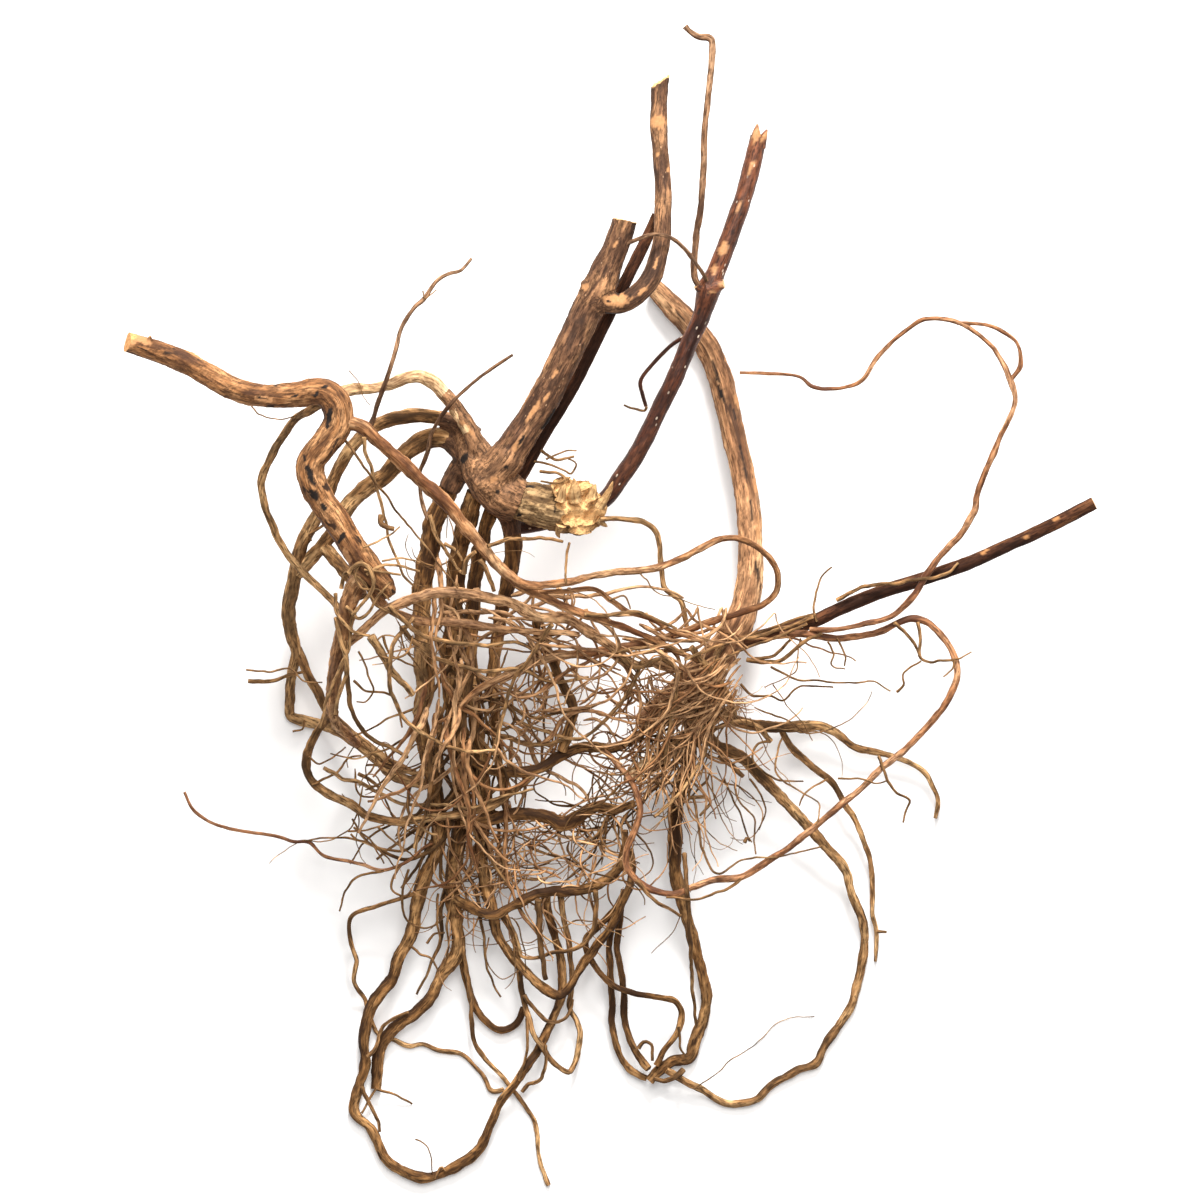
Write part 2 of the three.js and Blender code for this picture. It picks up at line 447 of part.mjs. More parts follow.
const TWIG_LEFT = [
  [
    [-77.5, 56, 45, 1.2], [-75.5, 60, 52, 0.9], [-74, 64.5, 60, 0.9], [-72, 70, 67.6, 0.9],
    [-70, 75, 70, 0.8], [-68, 82, 72, 0.8], [-66, 90, 72, 0.8], [-62, 96.5, 72, 0.8],
    [-58.3, 100, 71, 0.8], [-54, 106, 70, 0.7], [-50, 108.3, 69, 0.7], [-46, 109.5, 68, 0.6],
    [-42.7, 113.4, 67, 0.5],
  ],
];

const TWIG_RIGHT = [
  [
    [-28.8, 81.3, 66, 0.5], [-34, 78, 65, 0.6], [-41, 73, 64.5, 0.6], [-46, 68.5, 64, 0.6],
    [-50, 64.5, 63, 0.7], [-53, 60.5, 60, 0.7], [-56, 55, 55, 0.7], [-57, 50, 50.5, 0.8],
    [-58.5, 46, 47.5, 0.8], [-60, 42, 45, 0.7], [-59.5, 34, 43, 0.7], [-57, 26, 41, 0.7],
  ],
];

const ROOT_STUMP_SIDE = [
  [
    [0, 27, 52, 1], [8, 26.7, 50, 0.9], [14, 26, 49, 1], [18, 23.5, 48, 1], [19.5, 19, 48, 1],
    [20.5, 11, 47, 1], [21, 5, 46, 0.9], [23.5, 2, 44, 0.9], [27, -0.5, 42, 0.9], [28.5, -6, 40, 0.9],
    [29, -9.5, 38, 0.9],
  ],
];

// name, bark, sides of the rod, rods. A piece is cut back where it meets one listed before it.
const PIECES = [
  ["root_crown", "tan", 10, CROWN],
  ["stump", "torn", 10, STUMP],
  ["stem_tall", "grey", 8, STEM_A],
  ["stem_tall_branch", "grey", 8, STEM_A_BRANCH],
  ["stem_behind", "dark", 6, STEM_B],
  ["stem_dark", "dark", 8, STEM_C],
  ["stem_dark_twig", "brown", 6, TWIG_C],
  ["tendril", "orange", 5, TENDRIL],
  ["stem_left", "tan", 8, STEM_LEFT],
  ["stem_right", "dark", 8, STEM_E],
  ["root_over", "tan", 6, ROOT_OVER],
  ["root_diagonal", "orange", 6, ROOT_DIAGONAL],
  ["root_arch_upper", "brown", 6, ROOT_ARCH_UPPER],
  ["root_arch_lower", "brown", 6, ROOT_ARCH_LOWER],
  ["root_left_leg", "tan", 6, ROOT_LEFT_LEG],
  ["root_pale_loop", "tan", 6, ROOT_PALE_LOOP],
  ["root_long", "tan", 8, ROOT_LONG],
  ["root_bundle_a", "brown", 6, ROOT_BUNDLE_A],
  ["root_bundle_b", "brown", 6, ROOT_BUNDLE_B],
  ["root_bundle_c", "brown", 6, ROOT_BUNDLE_C],
  ["root_bundle_d", "brown", 6, ROOT_BUNDLE_D],
  ["root_knot", "orange", 6, ROOT_KNOT],
  ["root_orange_upper", "orange", 6, ROOT_ORANGE_UPPER],
  ["root_orange_lower", "orange", 6, ROOT_ORANGE_LOWER],
  ["root_middle", "orange", 6, ROOT_MIDDLE],
  ["root_loop_left", "brown", 6, ROOT_LOOP_LEFT],
  ["root_down", "brown", 6, ROOT_DOWN],
  ["root_band_upper", "brown", 6, ROOT_BAND_UPPER],
  ["root_band_lower", "brown", 6, ROOT_BAND_LOWER],
  ["root_arc", "brown", 6, ROOT_ARC],
  ["root_bright", "orange", 6, ROOT_BRIGHT],
  ["root_right_loop", "orange", 6, ROOT_RIGHT_LOOP],
  ["root_thin_loop", "orange", 5, ROOT_THIN_LOOP],
  ["root_outer_upper", "brown", 6, ROOT_OUTER_UPPER],
  ["root_outer_lower", "brown", 6, ROOT_OUTER_LOWER],
  ["root_tail", "brown", 6, ROOT_TAIL],
  ["root_hanging", "brown", 6, ROOT_HANGING],
  ["root_hook", "brown", 6, ROOT_HOOK],
  ["root_curl", "brown", 6, ROOT_CURL],
  ["root_stray", "brown", 5, ROOT_STRAY],
  ["root_outline", "brown", 5, ROOT_OUTLINE],
  ["root_long_thin", "orange", 5, ROOT_LONG_THIN],
  ["twig_left", "brown", 5, TWIG_LEFT],
  ["twig_right", "brown", 5, TWIG_RIGHT],
  ["root_stump_side", "tan", 5, ROOT_STUMP_SIDE],
];

const wasm = await Module();
wasm.setup();

// A closed body from a three.js geometry: points at the same place are joined.
function solid(geometry) {
  const g = geometry.clone();
  g.deleteAttribute("normal");
  g.deleteAttribute("uv");
  const merged = mergeVertices(g, 1e-4);
  const index = merged.index.array;
  const faces = [];
  for (let i = 0; i < index.length; i += 3) {
    const [a, b, c] = [index[i], index[i + 1], index[i + 2]];
    if (a !== b && b !== c && c !== a) {
      faces.push(a, b, c);
    }
  }
  const made = new wasm.Manifold(
    new wasm.Mesh({
      numProp: 3,
      vertProperties: merged.attributes.position.array,
      triVerts: new Uint32Array(faces),
    }),
  );
  return made;
}

// A rod with a closed round end at each end, bent along the line through its points and thickened by grow.
function rod(points, sides, grow) {
  const line = new THREE.CatmullRomCurve3(
    points.map((p) => new THREE.Vector3(p[0], p[1], p[2])),
    false,
    "centripetal",
  );
  const length = line.getLength();
  const steps = Math.max(points.length - 1, Math.ceil(length / STEP));
  const girth = (u) => {
    const t = line.getUtoTmapping(u) * (points.length - 1);
    const i = Math.min(Math.floor(t), points.length - 2);
    return THREE.MathUtils.lerp(points[i][3], points[i + 1][3], t - i) + grow;
  };
  const profile = [new THREE.Vector2(0, 0)];
  for (let i = 0; i <= steps; i++) {
    profile.push(new THREE.Vector2(girth(i / steps), i));
  }
  profile.push(new THREE.Vector2(0, steps));
  const bar = new THREE.LatheGeometry(profile, sides);
  const frames = line.computeFrenetFrames(steps, false);
  const at = bar.attributes.position;
  const end = new THREE.Vector3();
  for (let i = 0; i < at.count; i++) {
    const ring = Math.round(at.getY(i));
    const across = at.getX(i);
    const side = at.getZ(i);
    end.copy(line.getPointAt(ring / steps));
    end.addScaledVector(frames.normals[ring], across);
    end.addScaledVector(frames.binormals[ring], -side);
    const tip = ring === 0 ? -grow : ring === steps ? grow : 0;
    end.addScaledVector(frames.tangents[ring], tip);
    at.setXYZ(i, end.x - PLAN_CENTRE[0], end.y - PLAN_CENTRE[1], end.z);
  }
  const body = solid(bar);
  return body;
}

function joined(rods, sides, grow) {
  return rods.map((points) => rod(points, sides, grow)).reduce((a, b) => a.add(b));
}

// The largest closed body in a solid: a sliver cut off by a neighbour is dropped.
function largest(body) {
  return body.decompose().reduce((a, b) => (a.volume() > b.volume() ? a : b));
}

const apart = (a, b) =>
  a.max.some((v, i) => v < b.min[i] - GAP) || b.max.some((v, i) => v < a.min[i] - GAP);

const ground = new THREE.BoxGeometry(600, 600, 40).translate(0, 0, -20);
const below = solid(ground);

const group = new THREE.Group();
const placed = [];
for (const [name, bark, sides, rods] of PIECES) {
  let body = joined(rods, sides, 0).subtract(below);
  for (const other of placed) {
    if (!apart(body.boundingBox(), other.boundingBox())) {
      body = body.subtract(other);
    }
  }
  body = largest(body.simplify(SMALLEST));
  placed.push(joined(rods, sides, GAP));
  const { vertProperties, triVerts } = body.getMesh();
  const geometry = new THREE.BufferGeometry();
  geometry.setAttribute("position", new THREE.BufferAttribute(vertProperties, 3));
  geometry.setIndex(new THREE.BufferAttribute(triVerts, 1));
  const mesh = new THREE.Mesh(geometry, new THREE.MeshStandardMaterial(BARK[bark]));
  mesh.name = name;
  group.add(mesh);
}

export default group;
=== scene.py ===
import math
import random

import bpy
import numpy as np
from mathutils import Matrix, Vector
from mathutils.kdtree import KDTree


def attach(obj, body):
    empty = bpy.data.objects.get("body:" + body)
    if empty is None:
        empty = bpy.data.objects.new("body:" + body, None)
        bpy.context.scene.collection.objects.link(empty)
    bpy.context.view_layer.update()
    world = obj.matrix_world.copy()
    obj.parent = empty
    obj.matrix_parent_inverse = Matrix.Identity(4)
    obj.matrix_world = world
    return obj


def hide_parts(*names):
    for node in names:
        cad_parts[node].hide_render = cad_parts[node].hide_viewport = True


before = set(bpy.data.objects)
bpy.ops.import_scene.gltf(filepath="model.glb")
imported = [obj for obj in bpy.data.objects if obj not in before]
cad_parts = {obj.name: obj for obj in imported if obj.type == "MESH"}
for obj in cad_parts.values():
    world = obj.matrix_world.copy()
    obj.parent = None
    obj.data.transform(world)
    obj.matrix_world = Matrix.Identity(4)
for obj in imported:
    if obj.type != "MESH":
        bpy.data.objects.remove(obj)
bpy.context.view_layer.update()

# ---------------------------------------------------------------------------
# Crown, tall stem and its branch. The crown is the swollen woody knuckle from
# which the stems rose and the main roots spread. Pale scaly bark, grown as one.
# ---------------------------------------------------------------------------
PLAN_CENTRE = (3.2, -2.5)


def strands(name, lines, tints=None):
    """A mesh of bare lines: each line is a list of [x, y, z, radius] in millimetres."""
    verts, edges, girth, tint = [], [], [], []
    for n, line in enumerate(lines):
        first = len(verts)
        for (x0, y0, z0, r0), (x1, y1, z1, _) in zip(line, line[1:]):
            parts = max(1, round(math.dist((x0, y0, z0), (x1, y1, z1)) / 1.5))
            for f in (k / parts for k in range(parts)):
                laid.append((x0 + (x1 - x0) * f, y0 + (y1 - y0) * f, z0 + (z1 - z0) * f + r0))
        for x, y, z, r in line:
            verts.append(((x - PLAN_CENTRE[0]) / 1000, (y - PLAN_CENTRE[1]) / 1000, z / 1000))
            girth.append(r / 1000)
            tint.append(tints[n] if tints else 0.5)
        edges += [(i, i + 1) for i in range(first, len(verts) - 1)]
    mesh = bpy.data.meshes.new(name)
    mesh.from_pydata(verts, edges, [])
    mesh.attributes.new("girth", "FLOAT", "POINT").data.foreach_set("value", girth)
    mesh.attributes.new("tint", "FLOAT", "POINT").data.foreach_set("value", tint)
    obj = bpy.data.objects.new(name, mesh)
    bpy.context.scene.collection.objects.link(obj)
    return obj


class Tree:
    """Adds geometry nodes to one tree, left to right."""

    def __init__(self, name, inputs):
        self.tree = bpy.data.node_groups.new(name, "GeometryNodeTree")
        face = self.tree.interface
        face.new_socket("Geometry", in_out="OUTPUT", socket_type="NodeSocketGeometry")
        face.new_socket("Geometry", in_out="INPUT", socket_type="NodeSocketGeometry")
        for label, kind in inputs:
            face.new_socket(label, in_out="INPUT", socket_type="NodeSocket" + kind)
        self.input = self.tree.nodes.new("NodeGroupInput")
        self.output = self.tree.nodes.new("NodeGroupOutput")

    def add(self, kind, links=None, **settings):
        node = self.tree.nodes.new(kind)
        for key, value in settings.items():
            setattr(node, key, value)
        for key, value in (links or {}).items():
            self.put(node, key, value)
        return node

    def put(self, node, key, value):
        socket = node.inputs[key]
        if isinstance(value, bpy.types.NodeSocket):
            self.tree.links.new(value, socket)
        else:
            socket.default_value = value

    def math(self, operation, a, b=0.0, c=0.0):
        return self.add("ShaderNodeMath", {0: a, 1: b, 2: c}, operation=operation).outputs[0]

    def vector(self, operation, a, b=(0, 0, 0)):
        node = self.add("ShaderNodeVectorMath", {0: a}, operation=operation)
        self.put(node, 3 if operation == "SCALE" else 1, b)
        return node.outputs[1 if operation == "DOT_PRODUCT" else 0]

    def named(self, name, kind="FLOAT"):
        node = self.add("GeometryNodeInputNamedAttribute", {"Name": name}, data_type=kind)
        return node.outputs["Attribute"]

    def store(self, geometry, name, value, kind="FLOAT", domain="POINT"):
        node = self.add(
            "GeometryNodeStoreNamedAttribute",
            {"Geometry": geometry, "Name": name, "Value": value},
            data_type=kind,
            domain=domain,
        )
        return node.outputs[0]

    def noise(self, vector, scale, detail=2.0, rough=0.55, w=0.0):
        node = self.add(
            "ShaderNodeTexNoise",
            {"Vector": vector, "W": w, "Scale": scale, "Detail": detail, "Roughness": rough},
            noise_dimensions="4D",
        )
        return node.outputs[0]


def sweep_tree():
    """Turns lines into round rods: smooth line, slight wander, uneven girth."""
    inputs = [("Step", "Float"), ("Sides", "Int"), ("Wander", "Float"), ("Bends", "Float")]
    inputs += [("Knobs", "Float"), ("Seed", "Float"), ("Sawn", "Float")]
    t = Tree("root sweep", inputs)
    given = t.input.outputs
    curve = t.add("GeometryNodeMeshToCurve", {0: given["Geometry"]}).outputs[0]
    curve = t.add("GeometryNodeCurveSplineType", {0: curve}, spline_type="CATMULL_ROM").outputs[0]
    curve = t.add(
        "GeometryNodeResampleCurve", {"Curve": curve, "Length": given["Step"]}, mode="LENGTH",
    ).outputs[0]
    place = t.add("GeometryNodeInputPosition").outputs[0]
    swing = t.add(
        "ShaderNodeTexNoise",
        {"Vector": place, "W": given["Seed"], "Scale": given["Bends"], "Detail": 2.0},
        noise_dimensions="4D",
    ).outputs[1]
    swing = t.vector("SUBTRACT", swing, (0.5, 0.5, 0.5))
    curve = t.add(
        "GeometryNodeSetPosition",
        {"Geometry": curve, "Offset": t.vector("SCALE", swing, given["Wander"])},
    ).outputs[0]
    moved = t.add("ShaderNodeSeparateXYZ", {0: t.add("GeometryNodeInputPosition").outputs[0]}).outputs
    lifted = t.math("MAXIMUM", moved["Z"], t.math("MULTIPLY", t.named("girth"), 1.05))
    lifted = t.add("ShaderNodeCombineXYZ", {0: moved["X"], 1: moved["Y"], 2: lifted}).outputs[0]
    curve = t.add("GeometryNodeSetPosition", {"Geometry": curve, "Position": lifted}).outputs[0]
    girth = t.named("girth")
    knob = t.noise(place, t.math("MULTIPLY", given["Bends"], 2.5), 2.0, w=given["Seed"])
    knob = t.math("MULTIPLY_ADD", t.math("SUBTRACT", knob, 0.5), given["Knobs"], 1.0)
    girth = t.math("MULTIPLY", girth, knob)
    curve = t.store(curve, "girth", girth)
    spline = t.add("GeometryNodeSplineParameter")
    curve = t.store(curve, "along", spline.outputs["Length"])
    curve = t.store(curve, "tangent", t.add("GeometryNodeInputTangent").outputs[0], "FLOAT_VECTOR")
    circle = t.add("GeometryNodeCurvePrimitiveCircle", {"Resolution": given["Sides"], "Radius": 1.0})
    around = t.add("GeometryNodeSplineParameter").outputs["Factor"]
    profile = t.store(circle.outputs["Curve"], "around", around)
    body = t.add(
        "GeometryNodeCurveToMesh",
        {"Curve": curve, "Profile Curve": profile, "Scale": t.named("girth"), "Fill Caps": True},
    ).outputs[0]
    angle = t.math("MULTIPLY", t.named("around"), 2 * math.pi)
    grain = t.add("ShaderNodeCombineXYZ", {
        0: t.math("MULTIPLY", t.math("COSINE", angle), t.named("girth")),
        1: t.math("MULTIPLY", t.math("SINE", angle), t.named("girth")),
        2: t.named("along"),
    }).outputs[0]
    body = t.store(body, "grain", grain, "FLOAT_VECTOR")
    facing = t.add("GeometryNodeInputNormal").outputs[0]
    along = t.vector("DOT_PRODUCT", facing, t.named("tangent", "FLOAT_VECTOR"))
    cap = t.math("GREATER_THAN", t.math("ABSOLUTE", along), 0.9)
    body = t.store(body, "cut", t.math("MULTIPLY", cap, given["Sawn"]), domain="FACE")
    body = t.add("GeometryNodeRealizeInstances", {0: body}).outputs[0]
    t.tree.links.new(body, t.output.inputs[0])
    return t.tree


def relief_tree():
    """Raises the bark: lumps, lengthwise furrows and fine fibre, deepest where girth is large."""
    inputs = [("Lumps", "Float"), ("Furrows", "Float"), ("Fibre", "Float"), ("Seed", "Float")]
    inputs += [("Material", "Material")]
    t = Tree("bark relief", inputs)
    given = t.input.outputs
    grain = t.named("grain", "FLOAT_VECTOR")
    girth = t.named("girth")
    seed = given["Seed"]
    long_way = t.vector("MULTIPLY", grain, (1.0, 1.0, 0.16))
    lump = t.noise(t.vector("MULTIPLY", grain, (1, 1, 0.7)), 170.0, 2.0, w=seed)
    furrow = t.noise(long_way, 620.0, 3.0, 0.6, w=t.math("ADD", seed, 3.0))
    fibre = t.noise(long_way, 2100.0, 2.0, 0.6, w=t.math("ADD", seed, 7.0))
    ridge = t.math("ABSOLUTE", t.math("SUBTRACT", furrow, 0.5))
    rise = t.math("MULTIPLY", t.math("SUBTRACT", lump, 0.5), given["Lumps"])
    rise = t.math("ADD", rise, t.math("MULTIPLY", t.math("SUBTRACT", ridge, 0.12), given["Furrows"]))
    rise = t.math("ADD", rise, t.math("MULTIPLY", t.math("SUBTRACT", fibre, 0.5), given["Fibre"]))
    rise = t.math("MULTIPLY", rise, girth)
    rise = t.math("MULTIPLY", rise, t.math("MULTIPLY_ADD", t.named("cut"), -0.7, 1.0))
    off = t.vector("SCALE", t.add("GeometryNodeInputNormal").outputs[0], rise)
    body = t.add("GeometryNodeSetPosition", {"Geometry": given["Geometry"], "Offset": off}).outputs[0]
    # How low each furrow of the relief sinks, kept so the bark can paint shade into it.
    furrow_shade = t.math("SUBTRACT", t.math("ADD", t.math("MULTIPLY", ridge, 4.0), fibre), 0.35)
    body = t.store(body, "furrow_shade", furrow_shade)
    body = t.add("GeometryNodeSetShadeSmooth", {0: body, "Shade Smooth": True}).outputs[0]
    body = t.add("GeometryNodeRealizeInstances", {0: body}).outputs[0]
    body = t.add("GeometryNodeSetMaterial", {0: body, "Material": given["Material"]}).outputs[0]
    t.tree.links.new(body, t.output.inputs[0])
    return t.tree


SWEEP = sweep_tree()
RELIEF = relief_tree()
laid = []  # (x, y, top) along every root already placed, in millimetres


def grow(obj, tree, **values):
    """Runs a tree on an object and keeps the result as its plain mesh."""
    modifier = obj.modifiers.new(tree.name, "NODES")
    modifier.node_group = tree
    for item in tree.interface.items_tree:
        if item.in_out == "INPUT" and item.name in values:
            modifier[item.identifier] = values[item.name]
    graph = bpy.context.evaluated_depsgraph_get()
    mesh = bpy.data.meshes.new_from_object(obj.evaluated_get(graph), depsgraph=graph)
    obj.modifiers.clear()
    obj.data = mesh
    return obj


def keep(obj, slot, *nodes):
    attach(obj, "root")
    if nodes:
        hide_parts(*nodes)
    return obj


def tone(red, green, blue):
    """A colour seen on the real thing, 0 to 255, as the light it gives back."""
    return tuple(((v / 255 + 0.055) / 1.055) ** 2.4 for v in (red, green, blue))


def shade(name):
    material = bpy.data.materials.new(name)
    material.use_nodes = True
    tree = material.node_tree
    return material, tree, tree.nodes["Principled BSDF"]


def bark(
    name, base, light, dark, patch, cover, fleck=(236, 214, 184), flecks=0.0, rough=0.75, stretch=0.3,
    wood=(214, 166, 116), grimed=(150, 106, 64), shine=0.2, patch_scale=0.22, scar=(204, 150, 106),
):
    """Bark along the grain: broad mottling, dark patches, pale flecks, fibres, painted shade in the furrows,
    sawn ends.
    """
    material, tree, skin = shade(name)
    base, light, dark, patch, fleck, wood, grimed, scar = (
        tone(*colour) for colour in (base, light, dark, patch, fleck, wood, grimed, scar)
    )
    nodes, link = tree.nodes, tree.links.new

    def node(kind, links=None, **settings):
        n = nodes.new(kind)
        for key, value in settings.items():
            setattr(n, key, value)
        for key, value in (links or {}).items():
            if isinstance(value, bpy.types.NodeSocket):
                link(value, n.inputs[key])
            else:
                n.inputs[key].default_value = value
        return n

    def ramp(value, stops):
        n = node("ShaderNodeValToRGB", {0: value})
        marks = n.color_ramp.elements
        while len(marks) < len(stops):
            marks.new(0.5)
        for mark, (place, colour) in zip(marks, stops):
            mark.position = place
            mark.color = (*colour, 1) if isinstance(colour, tuple) else (colour,) * 3 + (1,)
        return n.outputs[0]

    def mix(amount, a, b, way="MIX"):
        n = node("ShaderNodeMix", data_type="RGBA", blend_type=way)
        for key, value in ((0, amount), (6, a), (7, b)):
            if isinstance(value, bpy.types.NodeSocket):
                link(value, n.inputs[key])
            else:
                n.inputs[key].default_value = (*value, 1) if isinstance(value, tuple) else value
        return n.outputs[2]

    def noise(vector, scale, detail, rough=0.55, warp=0.0):
        links = {"Vector": vector, "Scale": scale, "Detail": detail, "Roughness": rough}
        links["Distortion"] = warp
        return node("ShaderNodeTexNoise", links).outputs[0]

    def grid(size):
        return node("ShaderNodeVectorMath", {0: grain, 1: size}, operation="MULTIPLY").outputs[0]

    grain = node("ShaderNodeAttribute", attribute_name="grain").outputs["Vector"]
    furrow_shade = node("ShaderNodeAttribute", attribute_name="furrow_shade").outputs["Fac"]
    tint = node("ShaderNodeAttribute", attribute_name="tint").outputs["Fac"]
    cut = node("ShaderNodeAttribute", attribute_name="cut").outputs["Fac"]
    wound = node("ShaderNodeAttribute", attribute_name="wound").outputs["Fac"]
    rot = node("ShaderNodeAttribute", attribute_name="rot").outputs["Fac"]
    mottle = noise(grid((1000, 1000, 1000 * stretch)), 0.16, 5, 0.6, 0.4)
    streak = noise(grid((1000, 1000, 90)), 0.9, 5, 0.65)
    colour = ramp(mottle, [(0.38, dark), (0.49, base), (0.6, light)])
    colour = mix(ramp(tint, [(0.0, 0.6), (0.5, 0.0)]), colour, dark)
    colour = mix(ramp(tint, [(0.5, 0.0), (1.0, 0.65)]), colour, light)
    colour = mix(0.8, colour, ramp(streak, [(0.36, 0.4), (0.48, 0.92), (0.6, 1.15)]), "MULTIPLY")
    crack = noise(grid((1000, 1000, 150)), 1.9, 4, 0.6, 0.3)
    colour = mix(ramp(crack, [(0.52, 0.0), (0.6, 0.8)]), colour, tuple(v * 0.5 for v in dark))
    spot = noise(grid((1000, 1000, 1000 * stretch)), patch_scale, 4, 0.5, 0.9)
    spot = ramp(spot, [(1 - cover - 0.03, 0.0), (1 - cover + 0.02, 1.0)])
    colour = mix(spot, colour, patch)
    if flecks:
        cells = node("ShaderNodeTexVoronoi", {"Vector": grid((900, 900, 480)), "Scale": 0.55})
        dots = ramp(cells.outputs["Distance"], [(flecks, 1.0), (flecks + 0.06, 0.0)])
        some = ramp(cells.outputs["Color"], [(0.48, 0.0), (0.6, 0.9)])
        dots = node("ShaderNodeMath", {0: dots, 1: some}, operation="MULTIPLY").outputs[0]
        colour = mix(dots, colour, fleck)
    # Painted shade: the furrows of the relief are darkened, the deeper the darker.
    colour = mix(ramp(furrow_shade, [(0.1, 0.75), (0.55, 0.0)]), colour, tuple(v * 0.45 for v in dark))
    ring = noise(grid((1000, 1000, 1000)), 1.1, 4)
    face = ramp(ring, [(0.3, grimed), (0.5, wood), (0.8, wood)])
    colour = mix(wound, colour, mix(ring, scar, grimed))
    colour = mix(rot, colour, tone(34, 26, 22))
    colour = mix(cut, colour, face)
    link(colour, skin.inputs["Base Color"])
    dull = ramp(mottle, [(0.3, rough - 0.12), (0.7, rough + 0.12)])
    link(dull, skin.inputs["Roughness"])
    skin.inputs["Specular IOR Level"].default_value = shine
    fine = noise(grid((1000, 1000, 260)), 3.2, 3)
    bump = node("ShaderNodeBump", {"Height": fine, "Strength": 0.35, "Distance": 0.0004})
    bump2 = node("ShaderNodeBump", {"Height": streak, "Strength": 0.5, "Distance": 0.0006})
    link(bump.outputs[0], bump2.inputs["Normal"])
    link(bump2.outputs[0], skin.inputs["Normal"])
    return material


def ripple(points, size, seed):
    """Cheap smooth noise from a few turned sine waves, between -1 and 1."""
    rng = np.random.default_rng(seed)
    total = np.zeros(len(points))
    for _ in range(6):
        wave = rng.normal(size=3)
        wave *= 2 * math.pi / size / np.linalg.norm(wave) * rng.uniform(0.6, 1.9)
        total += np.sin(points @ wave + rng.uniform(0, 6.28))
    return total / 6


def blemish(obj, kind, spots, seed):
    """Marks ragged spots, each (x, y, half length, half width, turn in degrees), in plan through the whole
    piece.
    """
    mesh = obj.data
    co = np.zeros(len(mesh.vertices) * 3, np.float32)
    mesh.vertices.foreach_get("co", co)
    co = co.reshape(-1, 3)
    edge = 0.45 * ripple(co, 0.0035, seed) + 0.3 * ripple(co, 0.0012, seed + 1)
    value = np.zeros(len(co))
    for x, y, long_half, wide_half, turn in spots:
        a = math.radians(turn)
        dx = co[:, 0] * 1000 - (x - PLAN_CENTRE[0])
        dy = co[:, 1] * 1000 - (y - PLAN_CENTRE[1])
        u = (dx * math.cos(a) + dy * math.sin(a)) / long_half
        v = (dy * math.cos(a) - dx * math.sin(a)) / wide_half
        value = np.maximum(value, np.clip((1 - np.hypot(u, v) + edge) * 5, 0, 1))
    mesh.attributes.new(kind, "FLOAT", "POINT").data.foreach_set("value", value.astype(np.float32))


def melt(name, parts, voxel, rounds):
    """Grows swept rods into one another: joined, rebuilt as one skin and smoothed."""
    with bpy.context.temp_override(active_object=parts[0], selected_editable_objects=parts):
        bpy.ops.object.join()
    obj = parts[0]
    obj.name = name
    old = obj.data
    tree = KDTree(len(old.vertices))
    for v in old.vertices:
        tree.insert(v.co, v.index)
    tree.balance()
    fields = {}
    for label, width in (("grain", 3), ("girth", 1), ("tint", 1)):
        data = np.zeros(len(old.vertices) * width, np.float32)
        old.attributes[label].data.foreach_get("vector" if width == 3 else "value", data)
        fields[label] = data.reshape(-1, width)
    remesh = obj.modifiers.new("remesh", "REMESH")
    remesh.mode = "VOXEL"
    remesh.voxel_size = voxel / 1000
    smooth = obj.modifiers.new("smooth", "SMOOTH")
    smooth.iterations = rounds
    smooth.factor = 0.5
    graph = bpy.context.evaluated_depsgraph_get()
    mesh = bpy.data.meshes.new_from_object(obj.evaluated_get(graph), depsgraph=graph)
    obj.modifiers.clear()
    obj.data = mesh
    found = [tree.find_n(v.co, 5) for v in mesh.vertices]
    near = np.array([[hit[1] for hit in hits] for hits in found])
    share = 1 / (np.array([[hit[2] for hit in hits] for hits in found]) + 1e-4) ** 2
    share /= share.sum(axis=1, keepdims=True)
    for label, data in fields.items():
        kind = "FLOAT_VECTOR" if data.shape[1] == 3 else "FLOAT"
        if label in mesh.attributes:
            mesh.attributes.remove(mesh.attributes[label])
        made = mesh.attributes.new(label, kind, "POINT")
        blend = (data[near] * share[:, :, None]).sum(axis=1).astype(np.float32)
        made.data.foreach_set("vector" if kind == "FLOAT_VECTOR" else "value", blend.ravel())
    return obj


def swept(name, lines, step=0.8, sides=24, wander=0.5, bends=60.0, knobs=0.2, seed=0.0, tints=None):
    obj = strands(name, lines, tints)
    return grow(obj, SWEEP, Step=step / 1000, Sides=sides, Wander=wander / 1000, Bends=bends,
                Knobs=knobs, Seed=float(seed), Sawn=0.0)


def sever(obj, at, facing, rough, seed, reach=14.0, grain=2.5, step=0.0):
    """Cuts an end off, sawn or torn: what lies past the plane is pushed back on to it."""
    mesh = obj.data
    co = np.zeros(len(mesh.vertices) * 3, np.float32)
    mesh.vertices.foreach_get("co", co)
    co = co.reshape(-1, 3)
    middle = np.array([at[0] - PLAN_CENTRE[0], at[1] - PLAN_CENTRE[1], at[2]]) / 1000
    n = np.array(Vector(facing).normalized())
    past = (co - middle) @ n
    flat = co - past[:, None] * n
    ragged = rough / 1000 * (ripple(flat, grain / 1000, seed) + 0.4 * ripple(flat, grain / 3000, seed + 1))
    if step:
        ragged += step / 1000 * np.round(1.6 * ripple(flat, grain / 1400, seed + 2)) / 1.6
    near = np.linalg.norm(co - middle, axis=1) < reach / 1000
    over = np.where(near, past - ragged, -1.0)
    co -= np.clip(over, 0, None)[:, None] * n
    mesh.vertices.foreach_set("co", co.ravel())
    cut = np.zeros(len(mesh.vertices), np.float32)
    if "cut" in mesh.attributes:
        mesh.attributes["cut"].data.foreach_get("value", cut)
    else:
        mesh.attributes.new("cut", "FLOAT", "POINT")
    cut = np.maximum(cut, np.clip(over * 5000, 0, 1)).astype(np.float32)
    mesh.attributes["cut"].data.foreach_set("value", cut)
    mesh.update()
    return obj


